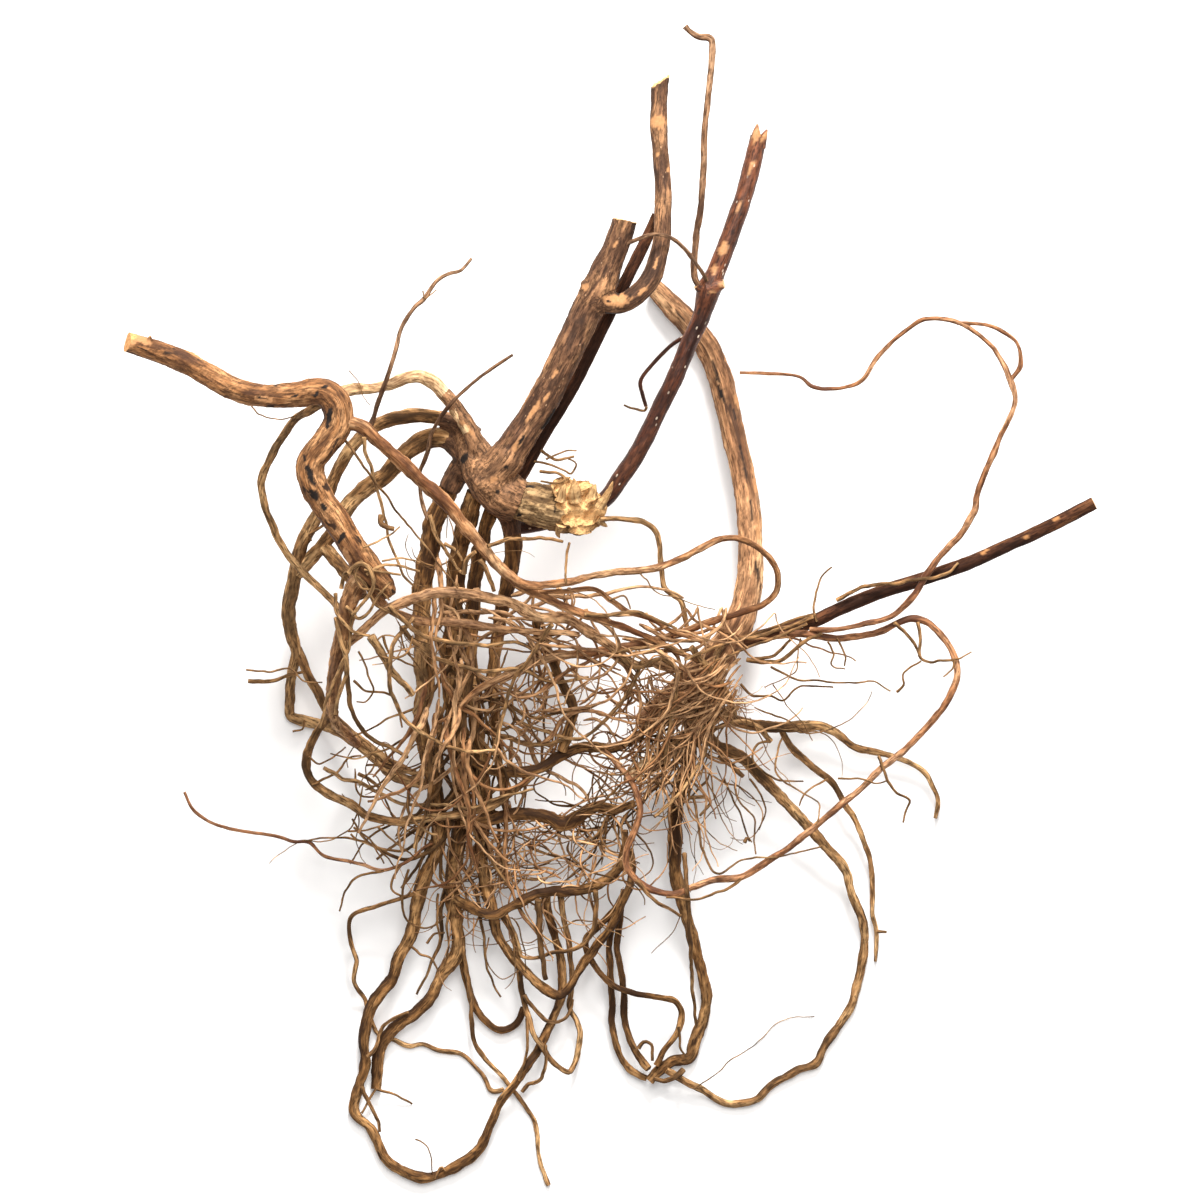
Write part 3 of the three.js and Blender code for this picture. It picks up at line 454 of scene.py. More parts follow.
CROWN = [
    [[-46, 56, 50, 3], [-42, 50, 51, 5.5], [-38, 42, 53, 7.5], [-33, 36, 52, 8], [-27, 33, 51, 7.5]],
    [[-40, 38, 54, 6.5], [-32, 46, 56, 6.4], [-29.5, 50, 57, 5.8]],
    [[-38, 46, 50, 5.5], [-45, 50, 48, 4.8], [-52, 54, 46.6, 3.7], [-58, 53, 45, 3.3]],
    [[-42, 54, 50, 4], [-47, 58.5, 50, 3.2], [-54, 60.6, 49.2, 2.7]],
    [[-52, 68.8, 59.6, 2.4], [-49, 65.5, 59, 2.5], [-44, 58, 57.5, 2.9], [-40, 50, 55.6, 3.4],
     [-36, 44, 54, 4]],
    [[-36, 38, 50, 6], [-45, 44, 46, 4.5], [-50, 37, 42, 3.8]],
    [[-33, 34, 48, 6], [-30, 27, 43, 3.6], [-29, 18, 38, 2.9]],
]
STEM_TALL = [
    [-34, 43, 55, 5.8], [-30, 49, 56.5, 5.7], [-24, 58, 58, 5.3], [-18, 68, 59, 5.2],
    [-11, 82, 61, 5.2], [-5, 95, 62, 5.3], [-1, 102, 63, 5.8], [3, 112, 64, 4.9], [6, 119, 65, 4.4],
    [9.2, 128.6, 66, 4.2],
]
STEM_BUD = [[-1, 101, 63, 3.4], [-4, 104, 64, 2.4], [-5.6, 106, 64.5, 1.4]]
STEM_TALL_BRANCH = [
    [-2, 100, 63, 4.2], [3, 98.8, 64, 3.8], [7, 98.5, 64, 3.4], [12.5, 101.5, 64, 3.5],
    [17, 107, 63, 3.5], [19.3, 114, 62, 3.1], [20.7, 121, 61, 3], [21, 129, 60, 3],
    [21, 136, 58, 2.9], [20.5, 144, 56, 2.8], [20, 151, 55, 2.8], [19.5, 158, 54, 3.1],
    [19.6, 165, 53, 2.8], [20, 171, 52, 3], [21.4, 176, 52, 2.2],
]
crown_parts = [
    swept("crown", CROWN, seed=1, knobs=0.3, wander=0.8, tints=[0.85, 0.85, 0.6, 0.6, 1.0, 0.6, 0.5]),
    swept("stem", [STEM_TALL, STEM_BUD, STEM_TALL_BRANCH], seed=2, knobs=0.12, wander=0.6,
          tints=[0.5, 0.8, 0.4]),
]
crown = melt("crown_and_tall_stem", crown_parts, 0.55, 4)
sever(crown, (8.4, 125.9, 66), (0.2, 0.98, 0.02), 0.35, 11, reach=8.5)
sever(crown, (20.5, 172.5, 53), (-0.55, 0.85, 0.12), 0.8, 12, reach=8)
sever(crown, (22.6, 174.5, 53), (0.9, 0.45, 0.2), 0.5, 13, reach=6)
bark_stem = bark(
    "stem_bark_grey", base=(120, 84, 60), light=(184, 136, 96), dark=(74, 50, 36), patch=(190, 134, 90),
    cover=0.3, flecks=0.07, fleck=(214, 172, 134), wood=(224, 178, 122), stretch=0.3,
)
blemish(crown, "wound", [
    (5.5, 99.5, 5, 2.4, 0), (-15, 75, 1.8, 0.8, 60), (5, 118, 1.2, 0.6, 60), (-22, 63, 4, 0.9, 57),
    (-18, 67, 2.4, 0.6, 57), (-28, 51, 2.6, 1, 55), (19.6, 159, 2.2, 3.2, 90), (19, 148, 1.0, 0.6, 80),
    (22.6, 143, 0.9, 0.6, 80), (-35, 40, 1.6, 1, 20), (-5, 104, 1.6, 1.2, 0), (14, 102.5, 2.6, 0.8, 42),
    (-44, 57, 4, 0.9, 130), (18.6, 112, 2.4, 0.5, 75),
], 31)
blemish(crown, "rot", [
    (3, 99, 0.8, 0.6, 0), (6, 101.5, 0.7, 0.5, 30), (10, 101, 0.8, 0.4, 60), (-17, 60, 4.5, 0.6, 57),
    (-26, 53, 2.4, 0.5, 57), (-31, 44, 0.9, 0.6, 0), (-34, 36, 0.8, 0.6, 0), (-45, 47, 2, 1.4, 60),
], 32)
grow(crown, RELIEF, Lumps=0.22, Furrows=0.3, Fibre=0.06, Seed=3.0, Material=bark_stem)
keep(crown, "bark_grey", "root_crown", "stem_tall", "stem_tall_branch")

# ---------------------------------------------------------------------------
# Stump: a second thick stem that snapped off just above the crown. Fibrous
# greenish bark round it, and a slanting broken face of pale yellow wood.
# ---------------------------------------------------------------------------
def root(name, slot, nodes, lines, material, step=0.9, sides=16, wander=0.8, bends=60.0, knobs=0.35,
         lumps=0.45, furrows=0.5, fibre=0.12, seed=0.0, tints=None, sawn=0.0, rotten=(), bared=()):
    """One swept root with its bark."""
    obj = strands(name, lines, tints)
    grow(obj, SWEEP, Step=step / 1000, Sides=sides, Wander=wander / 1000, Bends=bends, Knobs=knobs,
         Seed=float(seed), Sawn=sawn)
    blemish(obj, "rot", rotten, seed)
    blemish(obj, "wound", bared, seed + 40)
    grow(obj, RELIEF, Lumps=lumps, Furrows=furrows, Fibre=fibre, Seed=float(seed), Material=material)
    return keep(obj, slot, *nodes)


STUMP = [
    [
        [-31, 34, 51, 6.5], [-22, 32, 51, 7.2], [-14, 30.5, 52, 8], [-7, 30.5, 53, 9], [-1, 30.5, 54, 7.5],
        [3.2, 32, 55, 4],
    ],
    [[2, 32, 55, 2.6], [3.6, 36, 56, 1.6], [4.2, 39.5, 57, 0.4]],
]
STUMP_LUMP = [[[-15, 37, 59, 3.2], [-10, 37.5, 60, 3.6], [-5, 36, 59, 3.0]]]
stump = melt("stump", [swept("stump", STUMP[:1] + STUMP_LUMP, seed=4, knobs=0.35, wander=1.0)], 0.45, 3)
sever(stump, (-6.5, 30.5, 54.5), (0.62, 0.05, 0.78), 1.2, 21, reach=30, grain=8, step=2.2)
blemish(stump, "rot", [
    (-13, 35, 1.2, 0.9, 60), (-9, 29, 2.6, 0.35, 10), (-4, 27, 1.8, 0.3, -15), (-5, 33, 2.2, 0.3, 20),
    (-10, 24, 1.6, 0.4, 70), (-1, 29, 1.4, 0.3, 60), (-15, 30, 1.8, 0.4, 80), (-24, 38, 2.4, 0.7, -10),
    (-27, 28, 1.6, 0.5, 30),
], 36)
bark_stump = bark(
    "stump_bark", base=(150, 118, 80), light=(190, 156, 112), dark=(104, 76, 48), patch=(86, 60, 38),
    cover=0.3, wood=(222, 176, 120), grimed=(128, 88, 54), stretch=0.25,
)
grow(stump, RELIEF, Lumps=0.3, Furrows=0.55, Fibre=0.14, Seed=5.0, Material=bark_stump)
keep(stump, "torn_wood", "stump")

SHARDS = [
    [[-0.5, 31, 53.6, 2.2], [1.8, 34, 54.4, 1.7], [3.4, 37, 55.4, 0.9], [4.2, 39.5, 56, 0.12]],
    [[-8, 33, 57, 2.6], [-8.4, 37, 59, 2.0], [-8.8, 40.4, 60, 0.2]],
    [[-13, 33, 60, 2.0], [-12.5, 36.5, 61.2, 1.4], [-11.6, 38.5, 61.2, 0.2]],
    [[-2.5, 34, 55.4, 2.2], [-2.2, 37, 56.2, 1.4], [-1.4, 38.4, 56.6, 0.2]],
    [[-13, 25, 58, 1.8], [-14, 22.4, 56.4, 1.1], [-13.4, 20.6, 55, 0.2]],
    [[-1, 27, 51.4, 1.8], [1.2, 25.2, 50.4, 1.0], [2.4, 24.4, 49.8, 0.2]],
]
torn = bark(
    "torn_wood", base=(212, 168, 114), light=(232, 192, 138), dark=(160, 116, 72), patch=(104, 70, 42),
    cover=0.3, wood=(218, 172, 118), stretch=0.12,
)
root("stump_shards", "torn_wood", (), SHARDS, torn, step=0.5, sides=9, wander=0.5, bends=180, knobs=0.8,
     lumps=0.9, furrows=0.9, fibre=0.3, seed=6)

# ---------------------------------------------------------------------------
# Left stem: the stem that reaches far out, bends hard twice and ends in the
# knot of orange roots. Brown bark with black scars, peeled at its sawn end.
# ---------------------------------------------------------------------------
STEM_LEFT = [
    [
        [-158.3, 86, 70, 3.4], [-150, 83.5, 72, 3.6], [-140, 80, 74, 3.8], [-131, 75, 76, 4],
        [-122, 70.3, 78, 4], [-112, 67.8, 79, 4.1], [-102, 67.8, 80, 4.2], [-95, 69, 81, 4.6],
        [-90, 68, 82, 4.9], [-87, 64, 82, 5.1], [-87, 58, 82, 5], [-91, 52, 82, 4.9],
        [-95.5, 46, 81, 4.8], [-95.5, 40, 80, 4.8], [-92, 33, 79, 4.7], [-87, 26, 78, 4.7],
        [-82, 18, 77, 4.6], [-77, 11, 75, 4.8], [-72, 5, 73, 4], [-69.5, 1.5, 72, 2.6],
    ],
    [[-149, 84.5, 73, 1.4], [-149.3, 88.2, 75.5, 0.4]],
]
bark_tan = bark(
    "stem_bark_tan", base=(158, 108, 66), light=(206, 152, 104), dark=(94, 60, 38), patch=(50, 36, 27),
    cover=0.34, patch_scale=0.3, wood=(226, 164, 104), stretch=0.35,
)
stem_left = melt(
    "stem_left", [swept("stem_left", STEM_LEFT, seed=7, knobs=0.18, wander=0.6, sides=30)], 0.5, 2,
)
sever(stem_left, (-156.6, 85.9, 70.5), (-0.93, 0.25, 0.3), 0.15, 22, reach=9)
sever(stem_left, (-153.6, 87.0, 73.6), (-0.2, 0.75, 0.55), 0.35, 23, reach=6)
blemish(stem_left, "wound", [
    (-156.5, 85.6, 3, 2.4, 0), (-153, 87, 5, 1.6, -25), (-111, 66.5, 4, 1.1, -8), (-83.5, 14, 3.4, 1.3, 110),
    (-81, 8, 4, 1.6, 110), (-92, 47, 1.6, 0.8, 60),
], 33)
blemish(stem_left, "rot", [
    (-96, 41.5, 4.6, 1.2, 110), (-94.4, 34.6, 2.4, 1.3, 130), (-91.5, 31, 1.6, 0.9, 120),
    (-89.6, 60.5, 3.8, 0.9, 75), (-85.4, 20.6, 2.6, 0.9, 60), (-98, 47, 1.4, 0.6, 100),
    (-101, 67.5, 1.8, 0.5, 20), (-94, 68, 1.4, 0.6, 60), (-91, 70.6, 2, 0.5, 20), (-112, 66.8, 2, 0.4, -10),
    (-86, 12, 1.2, 0.4, 100),
], 34)
grow(stem_left, RELIEF, Lumps=0.3, Furrows=0.42, Fibre=0.1, Seed=8.0, Material=bark_tan)
keep(stem_left, "bark_tan", "stem_left")

# ---------------------------------------------------------------------------
# Dark stems: younger shoots with smooth red-brown bark, cut off above and
# half buried in the roots below. Pale breathing pores dot the bark.
# ---------------------------------------------------------------------------
STEM_B = [
    [
        [19, 128, 50, 1.8], [14.5, 118, 50, 2], [9, 107, 50, 2.1], [1.5, 92, 49, 2.2], [-3, 83, 48, 2.3],
        [-8, 73, 47.5, 2.3], [-14, 63, 47, 2.3], [-19, 55, 46.5, 2.4], [-24, 46, 46, 2.4],
        [-28, 39, 46, 2.4],
    ],
]
STEM_C = [
    [
        [52.8, 154.6, 46, 2.8], [52, 150, 46, 3], [48, 135, 47, 3], [43.5, 122, 48, 3.1], [39, 110, 48, 3.2],
        [36.5, 103.5, 48, 4], [33.5, 94, 47, 3], [29.5, 85, 46, 2.9], [25, 74, 45, 2.9],
        [19, 62, 43, 2.9], [13, 50, 41, 3], [7, 41, 39, 3], [1, 33, 37, 2.8], [-10, 28, 35.5, 2.7],
        [-20, 25.5, 35, 2.6], [-29, 24, 37.5, 2.4],
    ],
    [
        [31, 89, 45, 0.9], [24, 85, 42, 0.7], [16.5, 77.5, 40, 0.7], [13.5, 73, 39, 0.7],
        [14, 69, 38, 0.7], [15.3, 64.5, 37, 0.6],
    ],
    [[52.2, 151, 46.4, 2.4], [52, 155, 47, 1.6], [52.4, 158.4, 47.2, 0.3]],
    [[53.2, 151, 46, 2.2], [54.6, 154.5, 46.4, 1.2], [55.6, 156.6, 46.6, 0.3]],
    [[36.5, 103.6, 49, 3.4], [39.4, 104.8, 50, 2.4], [41.2, 105.2, 50.4, 1.6]],
    [[34.4, 104, 49, 2.6], [32.8, 104.2, 49.6, 1.8], [32, 104.6, 50, 1.0]],
]
STEM_E = [
    [
        [164.8, 32.3, 34, 2.2], [153, 26.2, 33, 2.3], [140, 20, 32, 2.2], [122, 12, 31, 2.3],
        [105, 6.3, 30, 2.3], [92, 2, 29, 2.3], [80, -3, 28, 2.3], [70, -7.5, 27.5, 2.3],
        [58, -11, 27, 2.3], [47, -14, 26, 2.3],
    ],
]
bark_matte = bark(
    "stem_bark_matte", base=(88, 54, 36), light=(122, 80, 52), dark=(56, 34, 24), patch=(70, 42, 28),
    cover=0.3, rough=0.8, stretch=0.1, wood=(204, 158, 106), shine=0.1, scar=(180, 128, 84),
)
bark_dark = bark(
    "stem_bark_dark", base=(102, 54, 32), light=(142, 86, 56), dark=(50, 25, 17), patch=(150, 92, 56),
    cover=0.2, flecks=0.12, fleck=(232, 210, 186), rough=0.5, stretch=0.12, wood=(214, 164, 106),
    shine=0.28,
)
LOOK = dict(sides=22, step=0.8, wander=0.5, knobs=0.14, lumps=0.22, furrows=0.22, fibre=0.05, sawn=1.0)
root("stem_behind", "bark_dark", ["stem_behind"], STEM_B, bark_matte, seed=9, **LOOK)
stem_dark = root(
    "stem_dark", "bark_dark", ["stem_dark"], STEM_C, bark_dark, seed=10,
    tints=[0.5, 0.1, 1.0, 1.0, 0.8, 0.8], rotten=[(33, 96, 1.5, 0.4, 70)],
    bared=[
        (41, 117, 3, 1.4, 70), (38, 110, 2, 0.9, 70), (52, 155, 3, 1.6, 75), (54.6, 154, 2.4, 0.8, 60),
        (46, 131, 2.4, 0.6, 70), (50.4, 144, 3, 0.5, 74), (40.5, 105, 1.6, 1, 0),
        (37, 102.4, 1.6, 0.6, 0),
    ],
    **LOOK,
)
FADE_FOOT, FADE_RISE = 66, 48  # how far up the plan the bark starts to lighten, and over what length
for vertex, mark in zip(stem_dark.data.vertices, stem_dark.data.attributes["tint"].data):
    if mark.value > 0.2:
        lightness = (vertex.co.y * 1000 + PLAN_CENTRE[1] - FADE_FOOT) / FADE_RISE
        mark.value = min(mark.value + 0.3, max(0.02, lightness))
root("stem_right", "bark_dark", ["stem_right"], STEM_E, bark_matte, seed=11, tints=[0.5],
     bared=[(152, 27, 1.6, 0.6, 25), (142, 21, 1.4, 0.5, 25), (128, 16, 1.6, 0.5, 25)], **LOOK)

# ---------------------------------------------------------------------------
# Twigs and tendril: thin dry shoots and side roots that stand out of the
# crown on their own. Rough light-brown skin, black where they died back.
# ---------------------------------------------------------------------------
TWIG_C = [
    [
        [36, 103, 49, 1.3], [31.3, 107, 50, 1.2], [32, 121, 49, 1.2], [33.5, 131, 49, 1.1],
        [34.5, 144, 48, 1.2], [35, 158, 47, 1.1], [36.5, 172, 46, 1.1], [37.3, 184, 45, 1.2],
        [36.5, 187, 45, 1.3], [33, 187.5, 45, 1.1], [30, 189.3, 45, 1], [28.3, 191, 45, 1.2],
    ],
]
TENDRIL = [
    [
        [8, 118, 67, 0.8], [15, 120.7, 69, 0.7], [19, 121.3, 68.5, 0.7], [24, 120, 66, 0.7],
        [29, 115.5, 61, 0.7], [33.5, 109.5, 55, 0.7], [36, 105.5, 50, 0.8],
    ],
]
TWIG_LEFT = [
    [
        [-77.5, 56, 45, 1.2], [-75.5, 60, 52, 0.9], [-74, 64.5, 60, 0.9], [-72, 70, 67.6, 0.9],
        [-70, 75, 70, 0.8], [-68, 82, 72, 0.8], [-66, 90, 72, 0.8], [-62, 96.5, 72, 0.8],
        [-58.3, 100, 71, 0.8], [-54, 106, 70, 0.7], [-50, 108.3, 69, 0.7], [-46, 109.5, 68, 0.6],
        [-42.7, 113.4, 67, 0.5],
    ],
]
TWIG_RIGHT = [
    [
        [-28.8, 81.3, 66, 0.5], [-34, 78, 65, 0.6], [-41, 73, 64.5, 0.6], [-46, 68.5, 64, 0.6],
        [-50, 64.5, 63, 0.7], [-53, 60.5, 60, 0.7], [-56, 55, 55, 0.7], [-57, 50, 50.5, 0.8],
        [-58.5, 46, 47.5, 0.8], [-60, 42, 45, 0.7], [-59.5, 34, 43, 0.7], [-57, 26, 41, 0.7],
    ],
]
bark_twig = bark(
    "twig_bark", base=(142, 104, 74), light=(186, 146, 112), dark=(84, 56, 38), patch=(60, 40, 30),
    cover=0.3, rough=0.8, stretch=0.3,
)
LOOK = dict(sides=10, step=0.8, wander=0.7, bends=90, knobs=0.55, lumps=0.6, furrows=0.5, fibre=0.1)
root("stem_dark_twig", "bark_brown", ["stem_dark_twig"], TWIG_C, bark_twig, seed=12, **LOOK)
root("tendril", "bark_orange", ["tendril"], TENDRIL, bark_twig, seed=13, tints=[0.7], **LOOK)
root("twig_left", "bark_brown", ["twig_left"], TWIG_LEFT, bark_twig, seed=14, tints=[0.65], **LOOK)
root("twig_right", "bark_brown", ["twig_right"], TWIG_RIGHT, bark_twig, seed=15, tints=[0.35], **LOOK)

# ---------------------------------------------------------------------------
# Arching roots: the stout roots that leave the crown to the left and bow down
# to the surface, with the thin pale root that loops round outside them.
# ---------------------------------------------------------------------------
ROOT_OVER = [
    [
        [-90, 68, 78, 2.2], [-82, 70, 72, 2], [-76, 70, 66, 1.9], [-70, 71.5, 63, 2], [-64, 74, 62, 2.2],
        [-59, 74, 61, 2.3], [-54, 71, 60, 2.4], [-49, 65.5, 59, 2.4], [-44, 58, 57.5, 2.6],
        [-41, 52, 56, 2.4],
    ],
]
ROOT_ARCH_UPPER = [
    [
        [-42, 54, 50, 3], [-47, 58.5, 50, 2.6], [-57, 61, 49, 2.5], [-66, 60.8, 48, 2.5],
        [-72, 59.5, 46, 2.4], [-78, 56, 44, 2.3], [-84, 49, 41, 2.2], [-88.5, 41, 38, 2.2],
        [-92, 33, 36, 2.3], [-96, 26, 33, 2.3], [-99.5, 19, 31, 2.3],
        [-101, 13, 29.4, 2.2], [-102, 7, 27.4, 1.6],
    ],
]
ROOT_ARCH_LOWER = [
    [
        [-47, 52, 47.5, 3.5], [-52, 54, 47, 3.3], [-58, 53, 45, 3.2], [-64, 49.5, 43, 3.1],
        [-70, 42.5, 40, 3], [-76, 38.5, 38, 2.9], [-83, 32.5, 36, 2.9], [-88, 25, 34, 2.7],
        [-92.5, 18.5, 32, 2.6], [-97, 13, 30, 2.5], [-101, 9, 28, 2.3],
    ],
    [[-92, 17.5, 32, 2.5], [-87, 12, 35, 2.4], [-82, 6, 39, 2.2], [-79, 1, 42, 1.8]],
]
ROOT_LEFT_LEG = [
    [
        [-99.5, 18, 30.5, 2.3], [-101, 12, 29, 2.4], [-103, 3, 26, 2.5], [-104, -3, 23, 2.5],
        [-103, -11, 20, 2.3], [-101.5, -17, 17, 2], [-103, -26, 12, 1.8], [-103.7, -32, 8, 1.7],
        [-103.5, -38.5, 1.4, 1.9], [-99, -40.5, 1.4, 1.9], [-93, -42, 4, 1.9], [-86, -44.5, 8, 1.9],
        [-80, -49, 11, 1.9], [-74, -54, 14, 1.9], [-68, -59, 17, 2], [-58, -62, 21, 1.8],
    ],
    [
        [-101, -16, 17, 1.6], [-98, -24, 15, 1.6], [-94.5, -31, 12, 1.7], [-90.5, -38, 10, 1.7],
        [-84, -44, 12, 1.6], [-77, -49, 14, 1.4], [-70, -54, 17, 1.3], [-62, -58, 22, 1.2],
    ],
]
ROOT_PALE_LOOP = [
    [
        [-92, 65, 79, 1.4], [-97, 62.5, 74, 1.5], [-101, 60, 69, 1.4], [-106, 53, 62, 1.4],
        [-110, 46, 57, 1.4], [-112.5, 40, 54, 1.4], [-112, 34, 52, 1.3], [-110, 27, 50, 1.3],
        [-105.5, 17.5, 48, 1.3], [-100, 10.5, 47, 1.3], [-94, 4.5, 49, 1.2], [-88, -1.5, 54, 1.2],
        [-84, -6.5, 60, 1.2],
    ],
]
bark_arch = bark(
    "root_bark_brown", base=(162, 118, 74), light=(216, 172, 120), dark=(82, 56, 30), patch=(74, 54, 36),
    cover=0.32, rough=0.8, stretch=0.3,
)
bark_pale = bark(
    "root_bark_pale", base=(226, 178, 126), light=(255, 222, 174), dark=(152, 108, 70), patch=(96, 68, 46),
    cover=0.28, rough=0.72, stretch=0.3,
)
LOOK = dict(sides=18, step=0.8, wander=1.4, bends=80, knobs=0.35, lumps=0.7, furrows=0.6)
root("root_over", "bark_tan", ["root_over"], ROOT_OVER, bark_pale, seed=16, tints=[0.75], **LOOK)
root("root_arch_upper", "bark_brown", ["root_arch_upper"], ROOT_ARCH_UPPER, bark_arch, seed=17, **LOOK)
root("root_arch_lower", "bark_brown", ["root_arch_lower"], ROOT_ARCH_LOWER, bark_arch, seed=18, **LOOK)
root("root_left_leg", "bark_tan", ["root_left_leg"], ROOT_LEFT_LEG, bark_arch, seed=19, tints=[0.65, 0.5],
     **LOOK)
root("root_pale_loop", "bark_tan", ["root_pale_loop"], ROOT_PALE_LOOP, bark_arch, seed=20, tints=[0.7],
     **LOOK)

# ---------------------------------------------------------------------------
# Long root: the stoutest root, bowed down the right side into the clump. Tan
# bark, cracked lengthwise, with dark streaks in the cracks.
# ---------------------------------------------------------------------------
ROOT_LONG = [
    [
        [18, 104.5, 2.6, 3.3], [24, 98.5, 3.2, 3.9], [30, 92, 3.5, 4.2], [36, 84.5, 3.9, 4.2],
        [40, 75, 6, 4.2], [42.5, 65, 8, 4.2], [45, 54, 10, 4.1], [47.5, 43, 12, 4],
        [49.5, 32, 15, 4.1], [50.3, 20, 18, 4.2], [50, 8, 21, 4.5], [48, -3, 24, 4.8],
        [44, -12, 26, 5.2], [38, -20, 27, 5.5], [30, -28, 26, 5.4], [22, -35, 24, 4.6],
        [14, -42, 22, 3.6],
    ],
    [[38, -18, 26, 5], [36, -30, 25, 5], [33, -40, 24, 4.4], [31, -47, 22, 3.4]],
]
bark_long = bark(
    "long_root_bark", base=(192, 140, 98), light=(236, 186, 138), dark=(116, 78, 52), patch=(74, 50, 36),
    cover=0.34, rough=0.78, stretch=0.12, patch_scale=0.3,
)
root("root_long", "bark_tan", ["root_long"], ROOT_LONG, bark_long, seed=21, sides=30, step=0.8, wander=0.8,
     knobs=0.12, lumps=0.3, furrows=0.5, fibre=0.1, rotten=[
         (40, 71, 10, 0.5, -76), (47.5, 47, 8, 0.5, -78), (52.4, 10, 4, 0.5, -85), (44.6, 63, 3, 0.5, -70),
         (50.6, 30, 4, 0.4, -88), (33, 91, 3, 0.6, -45), (27, 95, 2.6, 0.5, -45), (49, 20, 3, 0.4, -90),
     ], bared=[(43, 80, 2, 0.9, -60), (52, 40, 5, 0.7, -85), (53, 24, 5, 0.6, -90), (46, 67, 3, 0.7, -75)])

# ---------------------------------------------------------------------------
# Root bundle: four stout roots that hang together from the crown through the
# middle of the tangle, run out as loops below. Dull brown, ridged bark.
# ---------------------------------------------------------------------------
ROOT_BUNDLE_A = [
    [
        [-45, 46, 46, 3.6], [-51, 36, 41, 3.6], [-54.5, 27, 39, 3.6], [-57, 17, 37, 3.5],
        [-59, 6, 35, 3.4], [-59.5, -6, 33, 3.2], [-59, -18, 32, 3.2], [-58.5, -30, 30, 3],
        [-60, -40, 28, 2.8], [-58, -52, 26, 2.8], [-55, -65, 24, 2.6], [-54, -78, 20, 2.6],
        [-56, -87, 17, 2.5], [-59.5, -95, 14, 2.4], [-62, -104, 12, 2.3], [-63.5, -112, 10, 2.3],
        [-67, -119, 9, 2.2], [-69.5, -127, 8, 2.2], [-74.5, -133, 7, 2.1], [-78, -140, 6, 2],
        [-79.5, -148, 5, 1.9], [-78.7, -156, 4, 1.8], [-81, -164, 3, 1.8], [-82, -172, 1.4, 1.9],
        [-76.5, -178, 1.3, 1.8], [-73, -186, 1.3, 1.8], [-67.5, -190.8, 1.4, 1.9],
        [-58, -193.7, 1.4, 1.9], [-49, -190.5, 1.5, 1.9], [-41.5, -185, 2.5, 1.8],
        [-37, -177, 4, 1.6], [-33, -168.5, 5, 1.6], [-27, -159.5, 6, 1.6], [-20.5, -150, 6, 1.6],
        [-16.5, -142, 6, 1.6], [-13.5, -134, 6.5, 1.6], [-12.5, -125, 7, 1.6], [-14, -115, 8, 1.6],
        [-17.5, -104, 11, 1.6], [-18.5, -98, 15, 1.6],
    ],
]
ROOT_BUNDLE_B = [
    [
        [-41, 36, 47, 3.2], [-46, 20, 38, 3.2], [-48, 8, 35, 3.2], [-49, -5, 32, 3.1],
        [-50, -18, 29, 3], [-49, -32, 27, 3], [-47.5, -45, 25, 3], [-46.5, -58, 23, 3],
        [-46, -70, 20, 2.8], [-48, -83, 17, 2.8], [-49.5, -95, 13, 2.7], [-48.5, -107, 10, 2.5],
        [-47.5, -117, 9, 2.4], [-52.5, -124.5, 7, 2.3], [-56.5, -132.5, 6, 2.2], [-62, -138, 5, 2.1],
        [-68.5, -143.5, 4, 2.1], [-73, -150, 3.2, 2.1], [-74.5, -158, 2.2, 2.1], [-75, -164, 1.5, 2],
    ],
]
ROOT_BUNDLE_C = [
    [
        [-35, 33, 46, 2.6], [-40, 15, 35, 2.6], [-42, 2, 32, 2.6], [-43, -12, 29, 2.5],
        [-43, -26, 26, 2.5], [-41, -40, 24, 2.5], [-40, -55, 22, 2.6], [-38.5, -70, 19, 2.6],
        [-39.5, -82, 16, 2.4], [-38, -95, 14, 2.3], [-36, -104, 14, 2], [-34, -113, 13.5, 1.8],
        [-28, -121, 13, 1.7], [-21, -128, 12.5, 1.7], [-14.5, -132.5, 12, 1.7], [-10.5, -130, 12, 1.6],
        [-7, -124, 13, 1.6], [-2, -117, 14, 1.6], [4, -109, 16, 1.5], [8, -100, 19, 1.5],
        [10.5, -91, 23, 1.4], [10, -83, 27, 1.3],
    ],
]
ROOT_BUNDLE_D = [
    [
        [-30, 33, 46, 3], [-29, 17, 38, 2.9], [-30.5, 6, 35, 2.8], [-33, -4, 32, 2.5],
        [-35, -16, 30, 2.2], [-36, -28, 28, 2], [-35, -40, 27, 1.9], [-34, -52, 26, 1.6],
        [-32, -66, 24.5, 1.3], [-31, -70, 25, 1.2],
    ],
]
bark_brown = bark(
    "bundle_bark", base=(140, 98, 56), light=(198, 150, 98), dark=(66, 40, 18), patch=(60, 40, 24),
    cover=0.34, rough=0.85, stretch=0.22,
)
LOOK = dict(sides=18, step=0.8, wander=2.2, bends=60, knobs=0.5, lumps=0.9, furrows=1.0)
root("root_bundle_a", "bark_brown", ["root_bundle_a"], ROOT_BUNDLE_A, bark_brown, seed=22, **LOOK)
root("root_bundle_b", "bark_brown", ["root_bundle_b"], ROOT_BUNDLE_B, bark_brown, seed=23, **LOOK)
root("root_bundle_c", "bark_brown", ["root_bundle_c"], ROOT_BUNDLE_C, bark_brown, seed=24, **LOOK)
root("root_bundle_d", "bark_brown", ["root_bundle_d"], ROOT_BUNDLE_D, bark_brown, seed=25, **LOOK)

